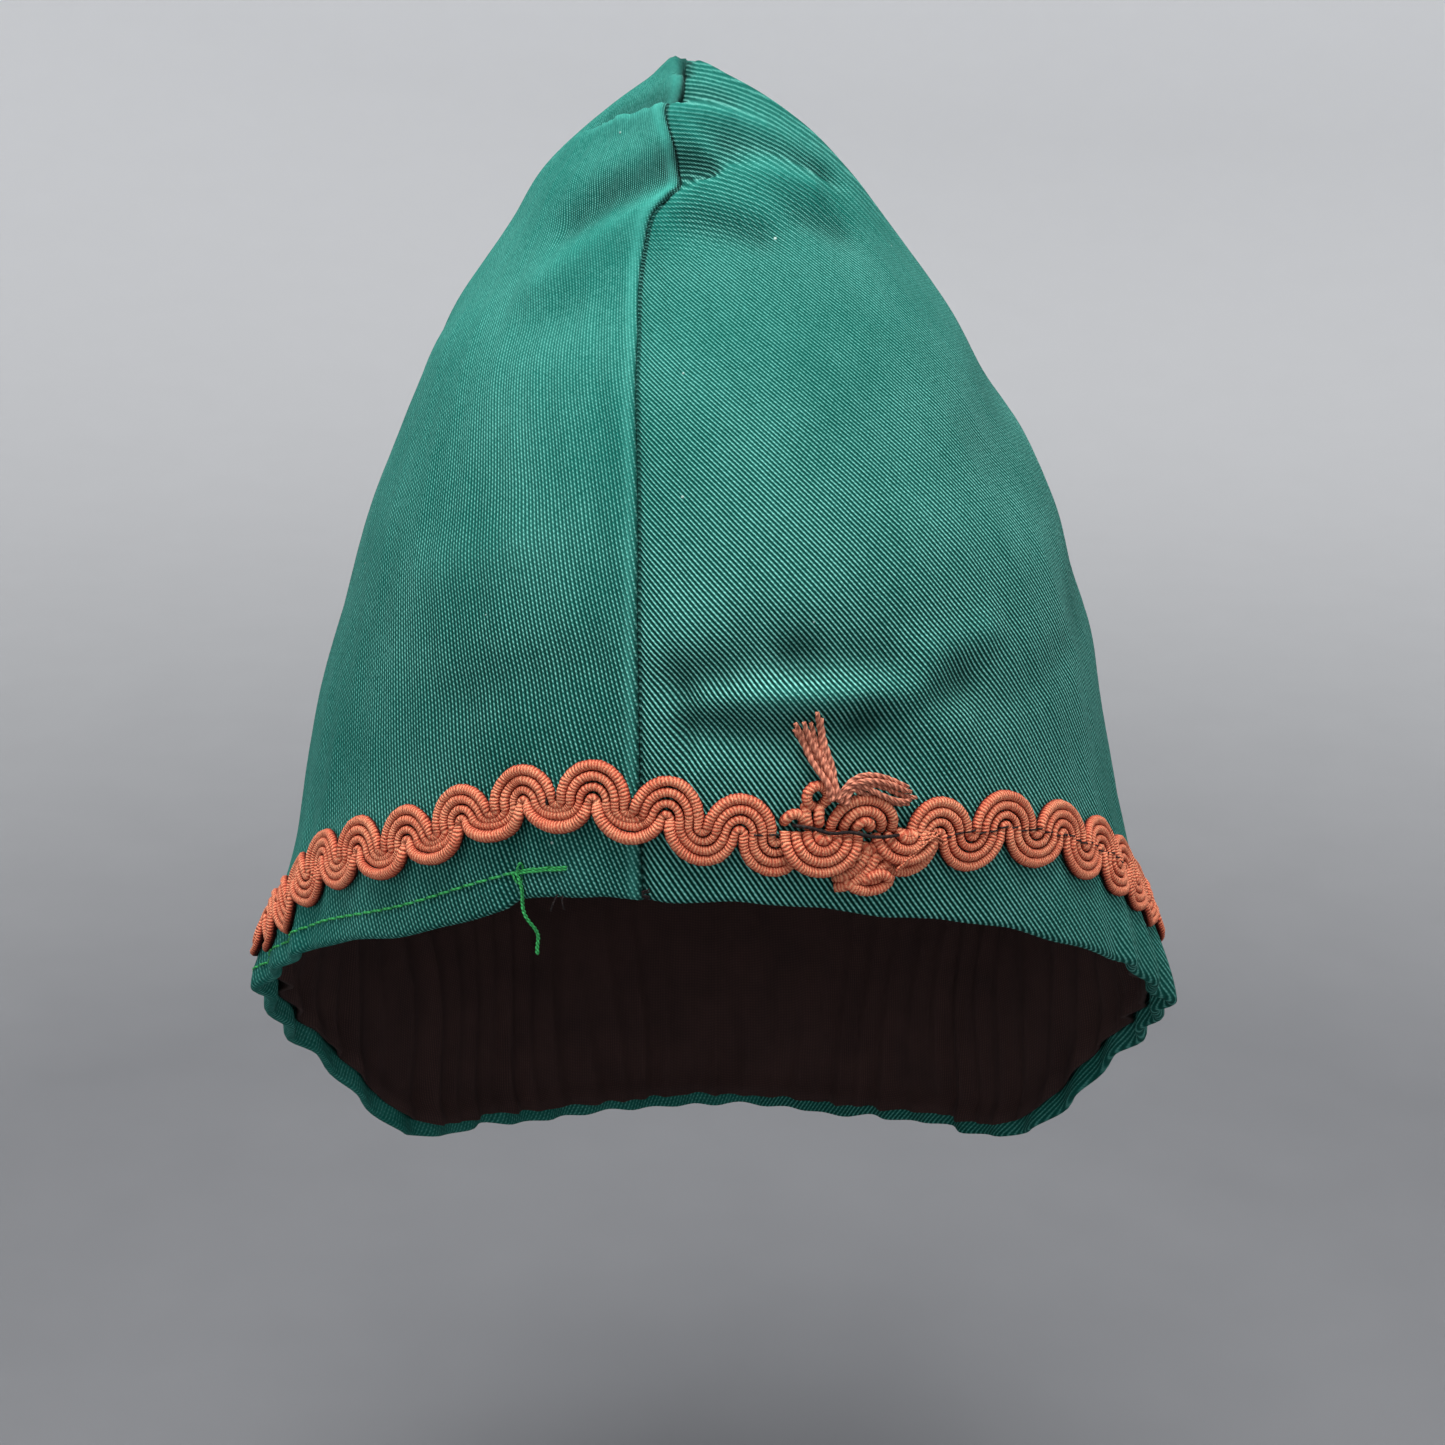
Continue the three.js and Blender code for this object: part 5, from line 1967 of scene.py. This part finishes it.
@dataclass
class Studio:
    """A camera at the photograph's angle, soft lights, and a pale floor that curves up far away."""

    distance: float = 0.52
    elevation: float = 20
    focal_pixels: float = 2128
    picture: int = 1445
    origin_pixel: tuple[float, float] = (716, 724)
    floor_height: float = -0.30
    floor_flat: float = 1.3
    floor_rim: float = 3.2
    ambient: float = 0.18

    def camera(self) -> bpy.types.Object:
        """The camera: it looks at the origin, and its shift puts that at the photograph's pixel.

        Returns:
            The camera.
        """
        data = bpy.data.cameras.new("studio_camera")
        data.sensor_width = 36
        data.lens = self.focal_pixels / self.picture * data.sensor_width
        data.shift_x = (self.picture / 2 - self.origin_pixel[0]) / self.picture
        data.shift_y = (self.origin_pixel[1] - self.picture / 2) / self.picture
        data.clip_start = 0.01
        data.clip_end = 50
        camera = bpy.data.objects.new("studio_camera", data)
        tilt = math.radians(self.elevation)
        camera.location = (0, -self.distance * math.cos(tilt), self.distance * math.sin(tilt))
        camera.rotation_euler = (math.pi / 2 - tilt, 0, 0)
        bpy.context.scene.collection.objects.link(camera)
        bpy.context.scene.camera = camera
        return camera

    def light(
        self, name: str, place: tuple[float, float, float], size: float, power: float, tint: Colour
    ) -> None:
        """A square soft light that faces the hood.

        Args:
            name: The light's name.
            place: Where it stands.
            size: Its side's length.
            power: Its power in watts.
            tint: Its colour, in shares.
        """
        data = bpy.data.lights.new(name, "AREA")
        data.shape = "SQUARE"
        data.size = size
        data.energy = power
        data.color = tint
        lamp = bpy.data.objects.new(name, data)
        way = Vector((0, 0, 0.02)) - Vector(place)
        lamp.matrix_world = Matrix.Translation(place) @ way.to_track_quat("-Z", "Y").to_matrix().to_4x4()
        bpy.context.scene.collection.objects.link(lamp)

    def floor(self) -> bpy.types.Object:
        """A round floor: flat, then rising as a quarter circle to its rim.

        Returns:
            The floor.
        """
        bend = self.floor_rim - self.floor_flat
        angle = np.linspace(0, np.pi / 2, 24)
        radius = np.concatenate([[0, 0.4, 0.9], self.floor_flat + bend * np.sin(angle), [self.floor_rim]])
        height = np.concatenate([[0, 0, 0], bend * (1 - np.cos(angle)), [bend + 1.5]]) + self.floor_height
        turn = 2 * np.pi * np.arange(96) / 96
        east, north = radius[:, None] * np.cos(turn), radius[:, None] * np.sin(turn)
        points = np.stack([east, north, np.repeat(height[:, None], 96, axis=1)], axis=-1)
        places = np.zeros((len(radius), 97, 2))
        floor = Patch.grid(points[::-1], places, ring=True).made("studio_floor", PaleFinish().made())
        return floor

    def make(self) -> None:
        """Builds the studio."""
        scene = bpy.context.scene
        scene.view_settings.view_transform = "Standard"
        self.camera()
        self.floor()
        self.light("top_light", (-0.05, -0.17, 1.4), 0.95, 35, (1.0, 1.0, 0.99))
        self.light("left_light", (-1.1, -0.8, 0.8), 0.8, 2.2, (0.98, 0.99, 1.0))
        self.light("right_light", (1.15, -0.7, 0.8), 0.8, 2.2, (0.98, 0.99, 1.0))
        self.light("back_light", (0.3, 1.3, 1.1), 1.1, 7, (1.0, 1.0, 1.0))
        world = bpy.data.worlds.new("studio_world")
        world.use_nodes = True
        sky = world.node_tree.nodes["Background"]
        sky.inputs["Color"].default_value = (0.93, 0.95, 1.0, 1.0)
        sky.inputs["Strength"].default_value = self.ambient
        scene.world = world


# Turn, then rise, width and lift as shares of a tail's sizes, from its root to its tip
UPPER_TAIL: Rows = (
    (14.2, 1.18, 0.3, 0.85),
    (13.9, 1.32, 0.4, 0.7),
    (13.2, 1.52, 0.6, 0.4),
    (12.3, 1.74, 0.85, 0.15),
    (11.1, 1.95, 1.2, 0.0),
)
RIGHT_TAIL: Rows = (
    (15.2, 1.14, 0.4, 0.85),
    (16.1, 1.29, 0.5, 0.75),
    (17.9, 1.34, 0.65, 0.6),
    (20.6, 1.31, 0.75, 0.45),
    (23.2, 1.27, 0.75, 0.35),
    (26.0, 1.27, 0.5, 0.25),
)


def main() -> None:
    """Builds the studio and every piece of the hood, and reports each."""
    logging.basicConfig(level=logging.INFO, format="%(name)s: %(message)s")
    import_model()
    Studio().make()
    form = HoodForm()
    line = BraidLine(form)
    gimp = GimpFinish().made()
    yarn = YarnFinish("frayed_gimp", (226, 146, 116), (128, 58, 42), 0.0016, 0.0002).made()
    green = YarnFinish("green_thread", (66, 190, 104), (18, 112, 52)).made()
    dark = YarnFinish("dark_thread", (34, 16, 14), (10, 6, 6)).made()
    rubbed = DrillFinish(
        "green_drill_left", even=(20, 112, 100), worn_and_highlight=(84, 176, 162), plain=0.12, beading=0.4, crown=0
    )
    drill = {-1: rubbed.made(), 1: DrillFinish("green_drill_right").made()}
    pieces = [Panel(form, side).make(drill[side]) for side in (-1, 1)]
    pieces.append(Lining(form).make(LiningFinish().made()))
    pieces.append(GimpBraid(line).make(gimp))
    pieces.append(BraidJoin(line).make(gimp))
    upper = FrayedTail(form, "frayed_tail_upper", "braid_tail_upper", UPPER_TAIL, 6, 0.00062)
    right = FrayedTail(form, "frayed_tail_right", "braid_tail_right", RIGHT_TAIL, 5, 0.00056, seed=8)
    pieces.extend(tail.make(yarn) for tail in (upper, right))
    pieces.extend(Stitches(form, line).make(green, dark))
    for piece in pieces:
        log.info("%s: %d faces", piece.name, len(piece.data.polygons))


if __name__ == "__main__":
    main()
